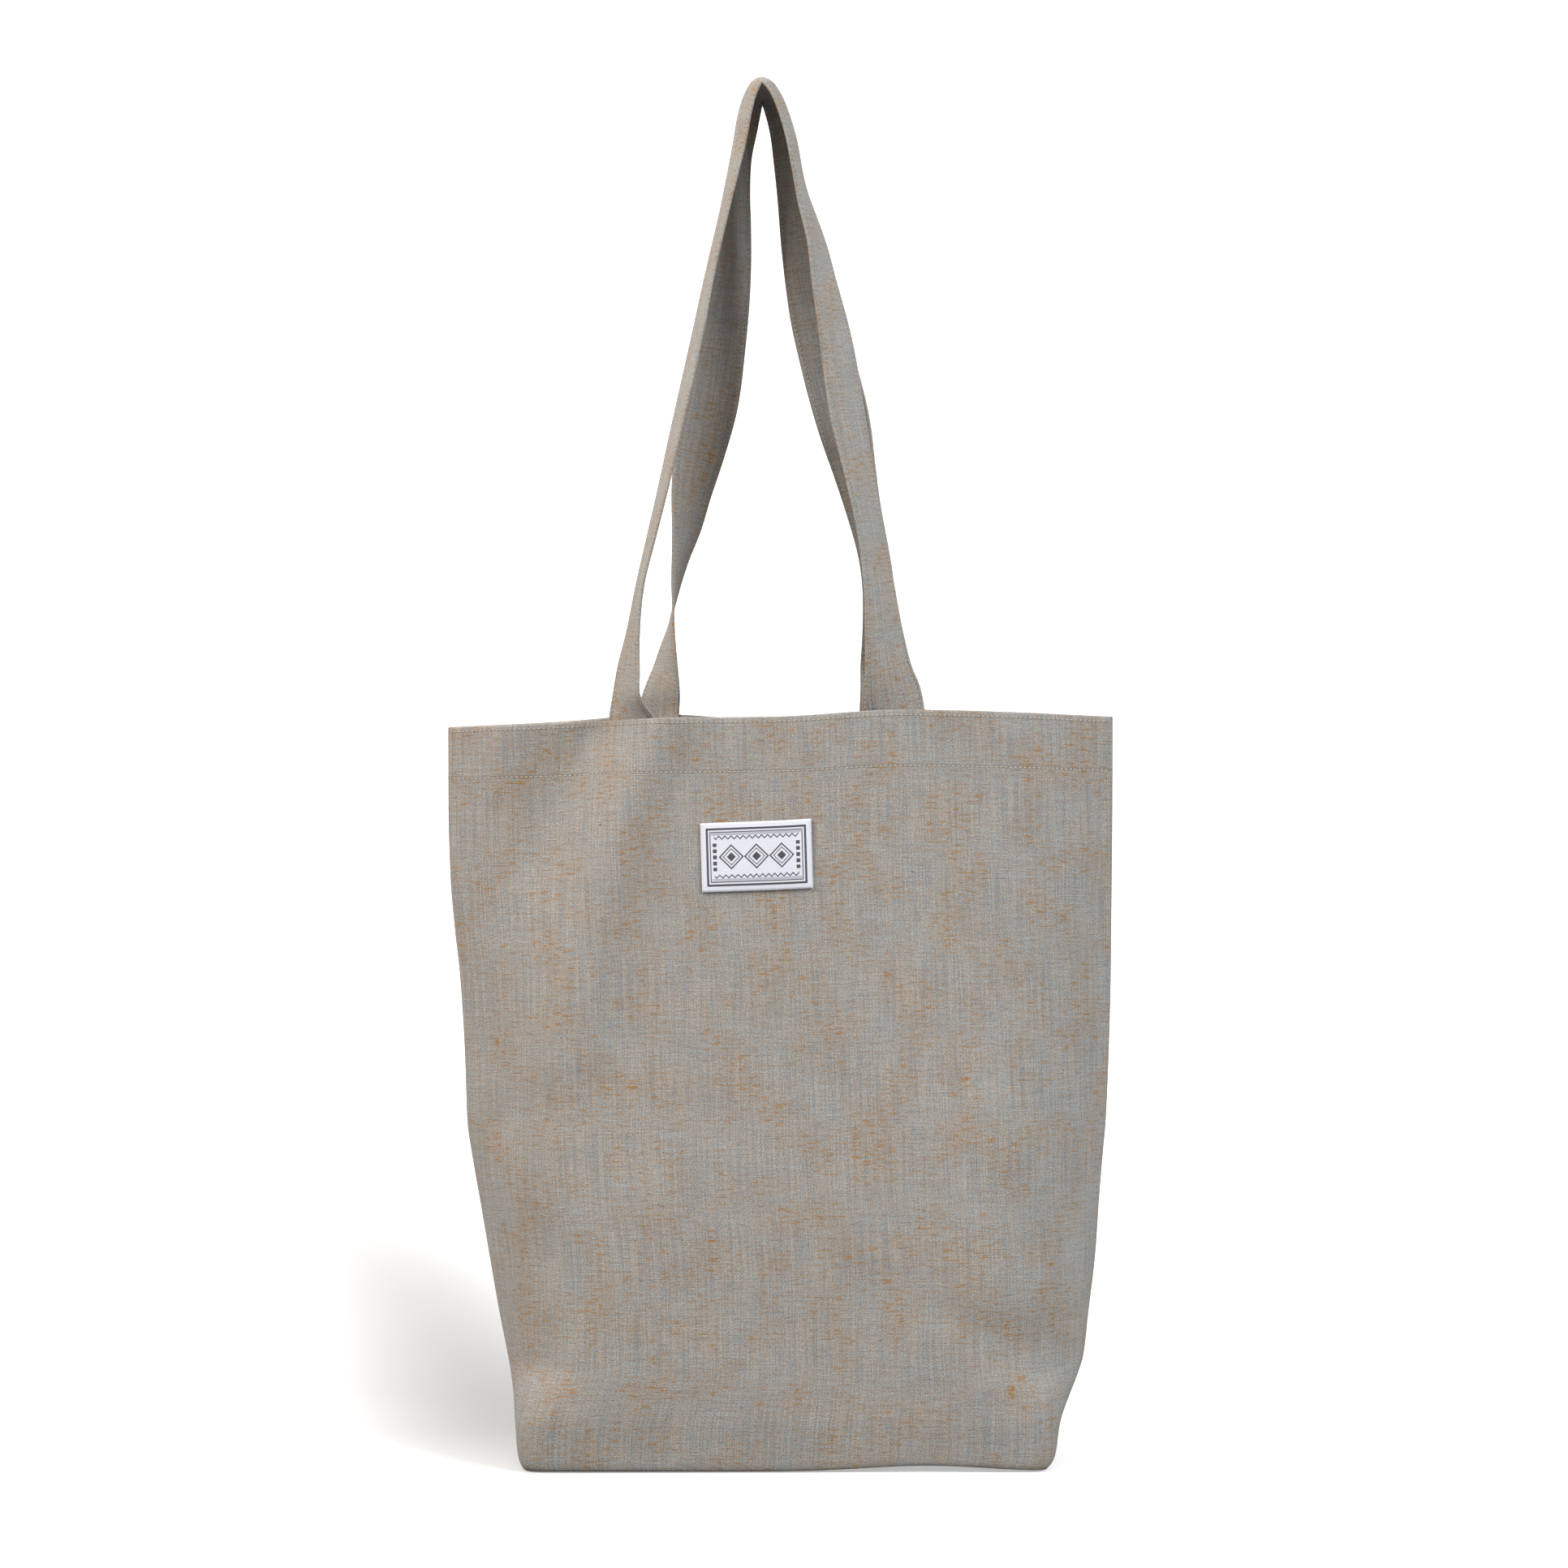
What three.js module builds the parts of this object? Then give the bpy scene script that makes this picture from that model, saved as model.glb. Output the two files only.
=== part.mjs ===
// A cloth tote bag that hangs by its two long handles.
// Millimetres, +Z up, X across the bag, -Y the front. The origin is where the handles hang.
import * as THREE from "three";

// Driving sizes
const bagWidth = 364; // laid flat, from seam to seam
const bagHeight = 385.5; // from the base to the rim where it stands highest
const gusset = 100; // front to back across the boxed base
const clothThickness = 1;
const seamTip = 7; // how far the two layers are pressed together inside a side seam
const rimDip = 9; // how far the rim sags at the left seam
const edgeLift = 3; // the lower front edge stands this high off the base line at its wave
const hemHeight = 30;
const hemThickness = 1;
const handleWidth = 30;
const handleThickness = 1.5;
const handleSpacing = 138; // between the centre lines of one handle's two ends
const handleRise = 327; // from the highest rim up to where the handles hang
const hangAcross = -12.6; // the hanging point, from the middle of the base
const labelWidth = 57;
const labelHeight = 36;
const labelThickness = 1;
const labelDrop = 55; // from the rim down to the label's upper edge
const labelAcross = -10.5; // the label's middle, from the middle of the front
const labelTilt = 1.7; // degrees
const clearance = 0.3; // between pieces that are sewn together

// The outline at each height, as a share of the bag's height from the base.
// left and right: reach beyond the base panel, as shares of half the gusset.
// front and back: depth, as shares of half the gusset.
// flat: how flat the front is. round: how round the sides are, where 1 is a pointed seam.
const outline = [
  { height: 0, left: -0.01, right: -0.01, front: 0.965, back: 0.965, flat: 9, round: 2.6 },
  { height: 0.006, left: 0.05, right: 0.06, front: 0.99, back: 0.99, flat: 10, round: 2.6 },
  { height: 0.016, left: 0.085, right: 0.11, front: 1, back: 1, flat: 10, round: 2.6 },
  { height: 0.055, left: 0.125, right: 0.176, front: 1, back: 1, flat: 9, round: 2.2 },
  { height: 0.085, left: 0.16, right: 0.274, front: 0.99, back: 0.99, flat: 8, round: 1.9 },
  { height: 0.134, left: 0.232, right: 0.442, front: 0.97, back: 0.98, flat: 7, round: 1.6 },
  { height: 0.19, left: 0.318, right: 0.494, front: 0.94, back: 0.96, flat: 6, round: 1.45 },
  { height: 0.27, left: 0.426, right: 0.566, front: 0.9, back: 0.94, flat: 5.2, round: 1.3 },
  { height: 0.345, left: 0.525, right: 0.606, front: 0.86, back: 0.92, flat: 4.6, round: 1.22 },
  { height: 0.405, left: 0.605, right: 0.644, front: 0.82, back: 0.9, flat: 4.2, round: 1.17 },
  { height: 0.45, left: 0.654, right: 0.674, front: 0.79, back: 0.88, flat: 3.9, round: 1.14 },
  { height: 0.545, left: 0.68, right: 0.706, front: 0.73, back: 0.86, flat: 3.4, round: 1.1 },
  { height: 0.65, left: 0.73, right: 0.727, front: 0.67, back: 0.84, flat: 3, round: 1.06 },
  { height: 0.72, left: 0.788, right: 0.732, front: 0.63, back: 0.83, flat: 2.8, round: 1.04 },
  { height: 0.79, left: 0.83, right: 0.738, front: 0.6, back: 0.82, flat: 2.6, round: 1.02 },
  { height: 0.89, left: 0.85, right: 0.744, front: 0.55, back: 0.81, flat: 2.4, round: 1 },
  { height: 1, left: 0.852, right: 0.746, front: 0.52, back: 0.8, flat: 2.3, round: 1 },
];

// Soft folds, each along a line from one point of a panel to another.
// across: -1 is the left seam, 1 the right seam. height: share of the bag's height.
// span: half width of the fold, as a share of half the panel.
// push: outward at each end of the line, as a share of half the gusset.
const folds = [
  { panel: "front", span: 0.09, push: -0.6, toPush: -0.05,
    across: -0.6, height: 1.03, toAcross: -0.9, toHeight: 0.76 },
  { panel: "front", span: 0.12, push: 0.17, toPush: 0.05,
    across: -0.4, height: 1.03, toAcross: -0.8, toHeight: 0.42 },
  { panel: "front", span: 0.08, push: 0.12, toPush: 0.02,
    across: -0.8, height: 1.02, toAcross: -0.88, toHeight: 0.88 },
  { panel: "front", span: 0.2, push: 0.07, toPush: 0.07,
    across: 0.66, height: 0.42, toAcross: 0.6, toHeight: 0.22 },
  { panel: "front", span: 0.07, push: -0.07, toPush: -0.01,
    across: 0.97, height: 0.13, toAcross: 0.3, toHeight: 0.24 },
  { panel: "front", span: 0.07, push: -0.08, toPush: -0.01,
    across: -0.97, height: 0.44, toAcross: -0.6, toHeight: 0.5 },
  { panel: "back", span: 0.12, push: 0.14, toPush: 0.02,
    across: -0.5, height: 1.03, toAcross: -0.7, toHeight: 0.5 },
  { panel: "back", span: 0.11, push: -0.66, toPush: -0.03,
    across: -0.22, height: 1.03, toAcross: -0.36, toHeight: 0.62 },
];

// How far the rim sags along each panel, as a share of the rim's dip.
const rimLine = [
  { across: -1, front: 1, back: 1 },
  { across: -0.7, front: 0.8, back: 0.66 },
  { across: -0.38, front: 0.52, back: 0.2 },
  { across: 0, front: 0.43, back: 0.5 },
  { across: 0.38, front: 0.02, back: 0.08 },
  { across: 0.65, front: 0.12, back: 0.2 },
  { across: 1, front: 0.39, back: 0.39 },
];

// The handles from the left end over the top to the right end.
// rise: share of the way from the rim to the hanging point.
// across: from the hanging point, as a share of half the handle spacing.
// depth: as a share of half the gusset. turn: which way the width points, in degrees,
// 0 to the right and 90 to the front. fold: how far the edges fold inwards, in degrees.
const frontHandle = [
  { rise: 0.037, across: -1.004, depth: -0.39, turn: 59, fold: 0 },
  { rise: 0.076, across: -0.983, depth: -0.4, turn: 72, fold: 0 },
  { rise: 0.135, across: -0.946, depth: -0.41, turn: 83, fold: 0 },
  { rise: 0.207, across: -0.899, depth: -0.42, turn: 88, fold: 0 },
  { rise: 0.28, across: -0.816, depth: -0.41, turn: 87, fold: 0 },
  { rise: 0.348, across: -0.739, depth: -0.4, turn: 84, fold: 0 },
  { rise: 0.444, across: -0.636, depth: -0.38, turn: 85, fold: 0 },
  { rise: 0.6, across: -0.468, depth: -0.36, turn: 85, fold: 0 },
  { rise: 0.692, across: -0.377, depth: -0.34, turn: 86, fold: 0 },
  { rise: 0.78, across: -0.299, depth: -0.335, turn: 85, fold: 4 },
  { rise: 0.845, across: -0.241, depth: -0.33, turn: 85, fold: 8 },
  { rise: 0.893, across: -0.198, depth: -0.325, turn: 85, fold: 14 },
  { rise: 0.935, across: -0.165, depth: -0.315, turn: 86, fold: 22 },
  { rise: 0.97, across: -0.116, depth: -0.29, turn: 87, fold: 32 },
  { rise: 0.992, across: -0.058, depth: -0.26, turn: 89, fold: 40 },
  { rise: 1, across: 0, depth: -0.25, turn: 90, fold: 43 },
  { rise: 0.992, across: 0.07, depth: -0.26, turn: 90, fold: 40 },
  { rise: 0.97, across: 0.14, depth: -0.29, turn: 92, fold: 32 },
  { rise: 0.935, across: 0.204, depth: -0.315, turn: 92, fold: 22 },
  { rise: 0.893, across: 0.259, depth: -0.325, turn: 95, fold: 14 },
  { rise: 0.845, across: 0.3, depth: -0.33, turn: 98, fold: 8 },
  { rise: 0.797, across: 0.351, depth: -0.335, turn: 104, fold: 4 },
  { rise: 0.731, across: 0.419, depth: -0.34, turn: 110, fold: 0 },
  { rise: 0.675, across: 0.474, depth: -0.35, turn: 117, fold: 0 },
  { rise: 0.589, across: 0.559, depth: -0.37, turn: 126, fold: 0 },
  { rise: 0.456, across: 0.66, depth: -0.4, turn: 130, fold: 0 },
  { rise: 0.362, across: 0.752, depth: -0.42, turn: 124, fold: 0 },
  { rise: 0.293, across: 0.816, depth: -0.43, turn: 121, fold: 0 },
  { rise: 0.204, across: 0.886, depth: -0.44, turn: 124, fold: 0 },
  { rise: 0.112, across: 0.935, depth: -0.44, turn: 135, fold: 0 },
  { rise: 0.058, across: 0.961, depth: -0.43, turn: 149, fold: 0 },
  { rise: 0.025, across: 0.985, depth: -0.42, turn: 166, fold: 0 },
];
const backHandle = [
  { rise: 0.04, across: -0.749, depth: 0.5, turn: 53, fold: 0 },
  { rise: 0.076, across: -0.728, depth: 0.51, turn: 65, fold: 0 },
  { rise: 0.103, across: -0.712, depth: 0.51, turn: 73, fold: 0 },
  { rise: 0.137, across: -0.688, depth: 0.51, turn: 83, fold: 0 },
  { rise: 0.178, across: -0.664, depth: 0.51, turn: 90, fold: 0 },
  { rise: 0.207, across: -0.648, depth: 0.5, turn: 96, fold: 0 },
  { rise: 0.247, across: -0.616, depth: 0.5, turn: 104, fold: 0 },
  { rise: 0.294, across: -0.571, depth: 0.49, turn: 117, fold: 0 },
  { rise: 0.35, across: -0.533, depth: 0.48, turn: 131, fold: 0 },
  { rise: 0.411, across: -0.475, depth: 0.46, turn: 147, fold: 0 },
  { rise: 0.486, across: -0.39, depth: 0.45, turn: 157, fold: 0 },
  { rise: 0.591, across: -0.316, depth: 0.42, turn: 153, fold: 0 },
  { rise: 0.665, across: -0.268, depth: 0.4, turn: 144, fold: 0 },
  { rise: 0.716, across: -0.232, depth: 0.38, turn: 131, fold: 0 },
  { rise: 0.78, across: -0.194, depth: 0.36, turn: 121, fold: 2 },
  { rise: 0.829, across: -0.168, depth: 0.345, turn: 113, fold: 5 },
  { rise: 0.893, across: -0.14, depth: 0.33, turn: 103, fold: 12 },
  { rise: 0.935, across: -0.118, depth: 0.315, turn: 96, fold: 18 },
  { rise: 0.97, across: -0.085, depth: 0.29, turn: 91, fold: 26 },
  { rise: 0.99, across: -0.048, depth: 0.26, turn: 90, fold: 36 },
  { rise: 0.998, across: 0, depth: 0.25, turn: 90, fold: 40 },
  { rise: 0.99, across: 0.05, depth: 0.26, turn: 90, fold: 36 },
  { rise: 0.97, across: 0.09, depth: 0.29, turn: 88, fold: 26 },
  { rise: 0.935, across: 0.118, depth: 0.315, turn: 82, fold: 18 },
  { rise: 0.885, across: 0.172, depth: 0.33, turn: 71, fold: 10 },
  { rise: 0.829, across: 0.225, depth: 0.345, turn: 63, fold: 4 },
  { rise: 0.747, across: 0.299, depth: 0.37, turn: 49, fold: 0 },
  { rise: 0.683, across: 0.354, depth: 0.4, turn: 40, fold: 0 },
  { rise: 0.64, across: 0.401, depth: 0.42, turn: 31, fold: 0 },
  { rise: 0.563, across: 0.496, depth: 0.46, turn: 22, fold: 0 },
  { rise: 0.456, across: 0.63, depth: 0.52, turn: 26, fold: 0 },
  { rise: 0.387, across: 0.706, depth: 0.55, turn: 44, fold: 0 },
  { rise: 0.338, across: 0.754, depth: 0.58, turn: 50, fold: 0 },
  { rise: 0.234, across: 0.852, depth: 0.62, turn: 44, fold: 0 },
  { rise: 0.119, across: 0.949, depth: 0.67, turn: 25, fold: 0 },
  { rise: 0.043, across: 0.999, depth: 0.69, turn: 8, fold: 0 },
];

// How many lengths each stretch of a panel is divided into
const outerSteps = 10; // from a side seam to a handle
const middleSteps = 11; // between the two ends of a handle
const handleSteps = 4; // across a handle
const labelSteps = 6;
const traceSteps = 240; // points used to measure the cloth along a section

// How soft forms fade
const foldFade = 8; // folds die out towards the seams, sharper with a higher power
const sagFade = 3; // the rim's sag dies out down the bag, faster with a higher power
const waveMiddle = 0.7; // the wave of the lower front edge, as shares of the panel's width
const waveSpan = 0.12;
const waveHeight = 0.05; // how far up the wave is felt, as a share of the bag's height
const floorShare = 0.86; // the flat part of the base, as a share of its outline

const halfWidth = bagWidth / 2;
const halfGusset = gusset / 2;
const halfBase = halfWidth - halfGusset;
const hangHeight = bagHeight + handleRise;
const hemOffset = clothThickness + clearance + hemThickness / 2;
const handleOffset = clothThickness + 2 * clearance + hemThickness + handleThickness / 2;

const mix = (a, b, t) => a + (b - a) * t;

// Value of one column of a table at a place along it.
function lookUp(table, key, at, column) {
  let i = 1;
  while (i < table.length - 1 && table[i][key] < at) i += 1;
  const [low, high] = [table[i - 1], table[i]];
  const t = THREE.MathUtils.clamp((at - low[key]) / (high[key] - low[key]), 0, 1);
  return mix(low[column], high[column], t);
}

// How far the folds push a panel outwards at a point of it.
function foldPush(panel, across, height) {
  let total = 0;
  for (const fold of folds) {
    if (fold.panel !== panel) continue;
    const run = new THREE.Vector2(
      (fold.toAcross - fold.across) * halfWidth,
      (fold.toHeight - fold.height) * bagHeight,
    );
    const from = new THREE.Vector2(
      (across - fold.across) * halfWidth,
      (height - fold.height) * bagHeight,
    );
    const t = THREE.MathUtils.clamp(from.dot(run) / run.lengthSq(), 0, 1);
    const away = from.addScaledVector(run, -t).length() / (fold.span * halfWidth);
    total += mix(fold.push, fold.toPush, t) * Math.exp(-away * away) * halfGusset;
  }
  return total * (1 - across ** foldFade);
}

// One panel's section at a height, as a dense line from the left seam to the right.
function traceSection(panel, row) {
  const sign = panel === "front" ? -1 : 1;
  const left = halfBase + row.left * halfGusset;
  const right = halfBase + row.right * halfGusset;
  const line = [];
  for (let i = 0; i <= traceSteps; i += 1) {
    const across = -Math.cos((Math.PI * i) / traceSteps);
    const x = across * (across < 0 ? left : right);
    const swell = (1 - Math.abs(across) ** row.flat) ** (1 / row.round);
    const depth = row[panel] * halfGusset * swell + foldPush(panel, across, row.height);
    line.push(new THREE.Vector2(x, sign * depth));
  }
  line[0].y = 0;
  line[traceSteps].y = 0;
  return line;
}

// Cloth measured from the left seam at each column of a panel, as shares of its width.
const columns = [];
function addColumns(from, to, steps) {
  for (let i = 0; i < steps; i += 1) columns.push(mix(from, to, i / steps) / bagWidth);
}
const leftHandle = halfWidth - handleSpacing / 2 - handleWidth / 2;
const rightHandle = leftHandle + handleSpacing;
addColumns(0, leftHandle, outerSteps);
addColumns(leftHandle, leftHandle + handleWidth, handleSteps);
addColumns(leftHandle + handleWidth, rightHandle, middleSteps);
addColumns(rightHandle, rightHandle + handleWidth, handleSteps);
addColumns(rightHandle + handleWidth, bagWidth, outerSteps);
columns.push(1);
const leftColumn = outerSteps;
const rightColumn = outerSteps + handleSteps + middleSteps;
const lastColumn = columns.length - 1;
const ringCount = 2 * lastColumn;

// Points of a line at the given shares of its length.
function pointsAlong(line, shares) {
  const reach = [0];
  for (let i = 1; i < line.length; i += 1) {
    reach.push(reach[i - 1] + line[i].distanceTo(line[i - 1]));
  }
  const total = reach[reach.length - 1];
  let i = 1;
  return shares.map((share) => {
    while (i < line.length - 1 && reach[i] < share * total) i += 1;
    const t = (share * total - reach[i - 1]) / (reach[i] - reach[i - 1]);
    return line[i - 1].clone().lerp(line[i], t);
  });
}

function rimSag(panel, share) {
  return rimDip * lookUp(rimLine, "across", 2 * share - 1, panel);
}

// The wave in the lower front edge, right of the middle.
function baseWave(panel, share) {
  if (panel === "back") return 0;
  const away = (share - waveMiddle) / waveSpan;
  return edgeLift * Math.exp(-away * away);
}

// A closed ring of the cloth's outer face: the front from left to right, then the back.
function outerRing(row) {
  const ring = [];
  for (const panel of ["front", "back"]) {
    const points = pointsAlong(traceSection(panel, row), columns);
    const placed = points.map((point, i) => {
      const lift = baseWave(panel, columns[i]) * Math.max(0, 1 - row.height / waveHeight);
      const sag = rimSag(panel, columns[i]) * row.height ** sagFade;
      const z = row.height * bagHeight - sag + lift;
      return new THREE.Vector3(point.x, point.y, z);
    });
    if (panel === "back") placed.reverse();
    ring.push(...placed.slice(0, -1));
  }
  return ring;
}

// A ring moved inwards, level, with its corners mitred no further than the seam's tip.
function insetRing(ring, distance) {
  return ring.map((point, i) => {
    const before = ring[(i + ring.length - 1) % ring.length];
    const after = ring[(i + 1) % ring.length];
    const a = new THREE.Vector2(point.x - before.x, point.y - before.y).normalize();
    const b = new THREE.Vector2(after.x - point.x, after.y - point.y).normalize();
    const inward = new THREE.Vector2(-a.y - b.y, a.x + b.x).normalize();
    const miter = Math.max(inward.dot(new THREE.Vector2(-a.y, a.x)), distance / seamTip);
    const reach = distance / Math.min(miter, 1);
    return new THREE.Vector3(point.x + inward.x * reach, point.y + inward.y * reach, point.z);
  });
}

function mixRings(low, high, t) {
  return low.map((point, i) => point.clone().lerp(high[i], t));
}

// Collects points and triangles, and turns a shell that came out inside out.
class Shell {
  constructor() {
    this.points = [];
    this.faces = [];
  }

  add(points) {
    const first = this.points.length;
    this.points.push(...points);
    return points.map((_, i) => first + i);
  }

  // Joins two rows of points. A flipped band faces the other way, along the same edges.
  band(low, high, closed, flipped = false) {
    const count = closed ? low.length : low.length - 1;
    for (let i = 0; i < count; i += 1) {
      const j = (i + 1) % low.length;
      const [a, b, c, d] = [low[i], low[j], high[j], high[i]];
      if (flipped) this.faces.push([a, c, b], [a, d, c]);
      else this.faces.push([a, b, c], [a, c, d]);
    }
  }

  geometry() {
    let volume = 0;
    for (const [a, b, c] of this.faces) {
      volume += this.points[a].dot(this.points[b].clone().cross(this.points[c]));
    }
    const index = this.faces.flatMap(([a, b, c]) => (volume < 0 ? [a, c, b] : [a, b, c]));
    const geometry = new THREE.BufferGeometry();
    geometry.setFromPoints(this.points);
    geometry.setIndex(index);
    geometry.computeVertexNormals();
    return geometry;
  }
}

// A floor inside a ring: a sloping border, then one flat face.
function addFloor(shell, ring, indices, z, facing) {
  const inner = ring.map((p) => new THREE.Vector3(p.x * floorShare, p.y * floorShare, z));
  const innerIndices = shell.add(inner);
  shell.band(indices, innerIndices, true, facing < 0);
  const flat = THREE.ShapeUtils.triangulateShape(inner.map((p) => new THREE.Vector2(p.x, p.y)), []);
  for (const [a, b, c] of flat) {
    const [i, j, k] = [innerIndices[a], innerIndices[b], innerIndices[c]];
    shell.faces.push(facing < 0 ? [i, k, j] : [i, j, k]);
  }
}

// The outline's rows, with the rows that the hem and the handle ends follow added.
const hemShares = [1, 0.5, 0]; // from the hem's foot to the rim
const hemHeights = hemShares.map((share) => 1 - (share * hemHeight) / bagHeight);
const rowHeights = outline.map((row) => row.height).filter((height) => height < hemHeights[0]);
const firstHemRow = rowHeights.length;
rowHeights.push(...hemHeights);
const rings = rowHeights.map((height) => {
  const row = { height };
  for (const column of ["left", "right", "front", "back", "flat", "round"]) {
    row[column] = lookUp(outline, "height", height, column);
  }
  return outerRing(row);
});
const topRow = rings.length - 1;
const hemRings = rings.slice(firstHemRow);

// The bag's cloth: outer face, rim, inner face and both faces of the base.
function makeBody() {
  const shell = new Shell();
  const outer = rings.map((ring) => shell.add(ring));
  const innerRings = rings.map((ring) => insetRing(ring, clothThickness));
  innerRings[0].forEach((point) => {
    point.z += clothThickness;
  });
  const inner = innerRings.map((ring) => shell.add(ring));
  for (let row = 0; row < topRow; row += 1) {
    shell.band(outer[row], outer[row + 1], true);
    shell.band(inner[row], inner[row + 1], true, true);
  }
  shell.band(outer[topRow], inner[topRow], true);
  addFloor(shell, rings[0], outer[0], 0, -1);
  addFloor(shell, innerRings[0], inner[0], clothThickness, 1);
  return shell.geometry();
}

// A sheet of even thickness about a grid of points, open or closed into a ring.
function makeSheet(grid, thickness, closed) {
  const count = grid[0].length;
  const column = (c) => (closed ? (c + count) % count : THREE.MathUtils.clamp(c, 0, count - 1));
  const faces = [-1, 1].map((side) =>
    grid.map((points, r) =>
      points.map((point, c) => {
        const across = points[column(c + 1)].clone().sub(points[column(c - 1)]);
        const above = grid[Math.min(r + 1, grid.length - 1)][c].clone();
        const along = above.sub(grid[Math.max(r - 1, 0)][c]);
        const normal = across.cross(along).normalize();
        return point.clone().addScaledVector(normal, (side * thickness) / 2);
      }),
    ),
  );
  const shell = new Shell();
  const [inside, outside] = faces.map((face) => face.map((points) => shell.add(points)));
  const last = grid.length - 1;
  for (let r = 0; r < last; r += 1) {
    shell.band(inside[r], inside[r + 1], closed, true);
    shell.band(outside[r], outside[r + 1], closed);
  }
  shell.band(inside[0], outside[0], closed);
  shell.band(outside[last], inside[last], closed);
  if (!closed) {
    for (const [c, flip] of [[0, false], [count - 1, true]]) {
      const one = inside.map((row) => row[c]);
      const two = outside.map((row) => row[c]);
      if (flip) shell.band(one, two, false);
      else shell.band(two, one, false);
    }
  }
  return shell.geometry();
}

// The turned-in hem, a ring inside the rim that leaves out the tips at the side seams.
function makeHem() {
  const grid = hemRings.map((ring) =>
    insetRing(ring, hemOffset).filter((_, i) => i % lastColumn !== 0),
  );
  return makeSheet(grid, hemThickness, true);
}

// The points across one end of a handle, where it lies on the hem.
function handleEnd(panel, firstColumn, reversed, hemRing) {
  const ring = insetRing(hemRing, handleOffset);
  const points = [];
  for (let i = 0; i <= handleSteps; i += 1) {
    const column = firstColumn + i;
    points.push(ring[panel === "front" ? column : (ringCount - column) % ringCount]);
  }
  return reversed ? points.reverse() : points;
}

// A handle from the foot of its left end, over the top, to the foot of its right end.
function makeHandle(panel, stations, crossed) {
  const ends = [leftColumn, rightColumn].map((column, i) => {
    const reversed = i === 1 && !crossed;
    return hemRings.map((ring) => handleEnd(panel, column, reversed, ring));
  });
  const middles = stations.map(({ rise, across, depth }, i) => {
    const end = ends[i < stations.length / 2 ? 0 : 1][2];
    const rim = end[handleSteps / 2].z;
    return new THREE.Vector3(
      hangAcross + (across * handleSpacing) / 2,
      depth * halfGusset,
      mix(rim, hangHeight, rise),
    );
  });
  const line = [ends[0][2][handleSteps / 2], ...middles, ends[1][2][handleSteps / 2]];
  const grid = stations.map(({ turn, fold }, i) => {
    const along = line[i + 2].clone().sub(line[i]).normalize();
    const angle = THREE.MathUtils.degToRad(turn);
    const width = new THREE.Vector3(Math.cos(angle), -Math.sin(angle), 0);
    width.addScaledVector(along, -along.dot(width)).normalize();
    const inward = along.clone().cross(width);
    const bend = THREE.MathUtils.degToRad(fold);
    const points = [];
    for (let c = 0; c <= handleSteps; c += 1) {
      const share = (2 * c) / handleSteps - 1;
      const point = middles[i].clone();
      point.addScaledVector(width, (share * handleWidth * Math.cos(bend)) / 2);
      point.addScaledVector(inward, (Math.abs(share) * handleWidth * Math.sin(bend)) / 2);
      points.push(point);
    }
    return points;
  });
  return makeSheet([...ends[0], ...grid, ...ends[1].reverse()], handleThickness, false);
}

// A point on the front's outer face, by cloth from the middle and depth below the rim.
function frontPoint(across, distance, outward) {
  const share = across / bagWidth + 0.5;
  let column = 0;
  while (columns[column + 1] < share) column += 1;
  const t = (share - columns[column]) / (columns[column + 1] - columns[column]);
  const height = 1 - distance / bagHeight;
  let row = 0;
  while (rowHeights[row + 1] < height) row += 1;
  const rise = (height - rowHeights[row]) / (rowHeights[row + 1] - rowHeights[row]);
  const ring = mixRings(insetRing(rings[row], -outward), insetRing(rings[row + 1], -outward), rise);
  return ring[column].clone().lerp(ring[column + 1], t);
}

// The label's rows, as shares of its height from the upper edge
const labelShares = [1, 2 / 3, 1 / 3, 0];

function makeLabel() {
  const tilt = Math.tan(THREE.MathUtils.degToRad(labelTilt));
  const stand = clearance + labelThickness / 2;
  const grid = labelShares.map((share) => {
    const points = [];
    for (let i = 0; i <= labelSteps; i += 1) {
      const across = (i / labelSteps - 0.5) * labelWidth;
      const distance = labelDrop + share * labelHeight - across * tilt;
      points.push(frontPoint(labelAcross + across, distance, stand));
    }
    return points;
  });
  return makeSheet(grid, labelThickness, false);
}

const chambray = { color: 0xa09a92, roughness: 0.95, metalness: 0 };
const pieces = [
  ["body", makeBody(), chambray],
  ["rim_hem", makeHem(), chambray],
  ["front_handle", makeHandle("front", frontHandle, false), chambray],
  ["back_handle", makeHandle("back", backHandle, true), chambray],
  ["label", makeLabel(), { color: 0xe6e6e4, roughness: 0.7, metalness: 0 }],
];
const group = new THREE.Group();
for (const [name, geometry, finish] of pieces) {
  const mesh = new THREE.Mesh(geometry, new THREE.MeshStandardMaterial(finish));
  mesh.name = name;
  group.add(mesh);
}
group.position.set(-hangAcross, 0, -hangHeight);

export default group;
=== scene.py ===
# A slub chambray tote bag hanging by its two long handles.
import math
from functools import partial

import bmesh
import bpy
import numpy as np
from mathutils import Euler, Matrix, Vector, noise


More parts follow.
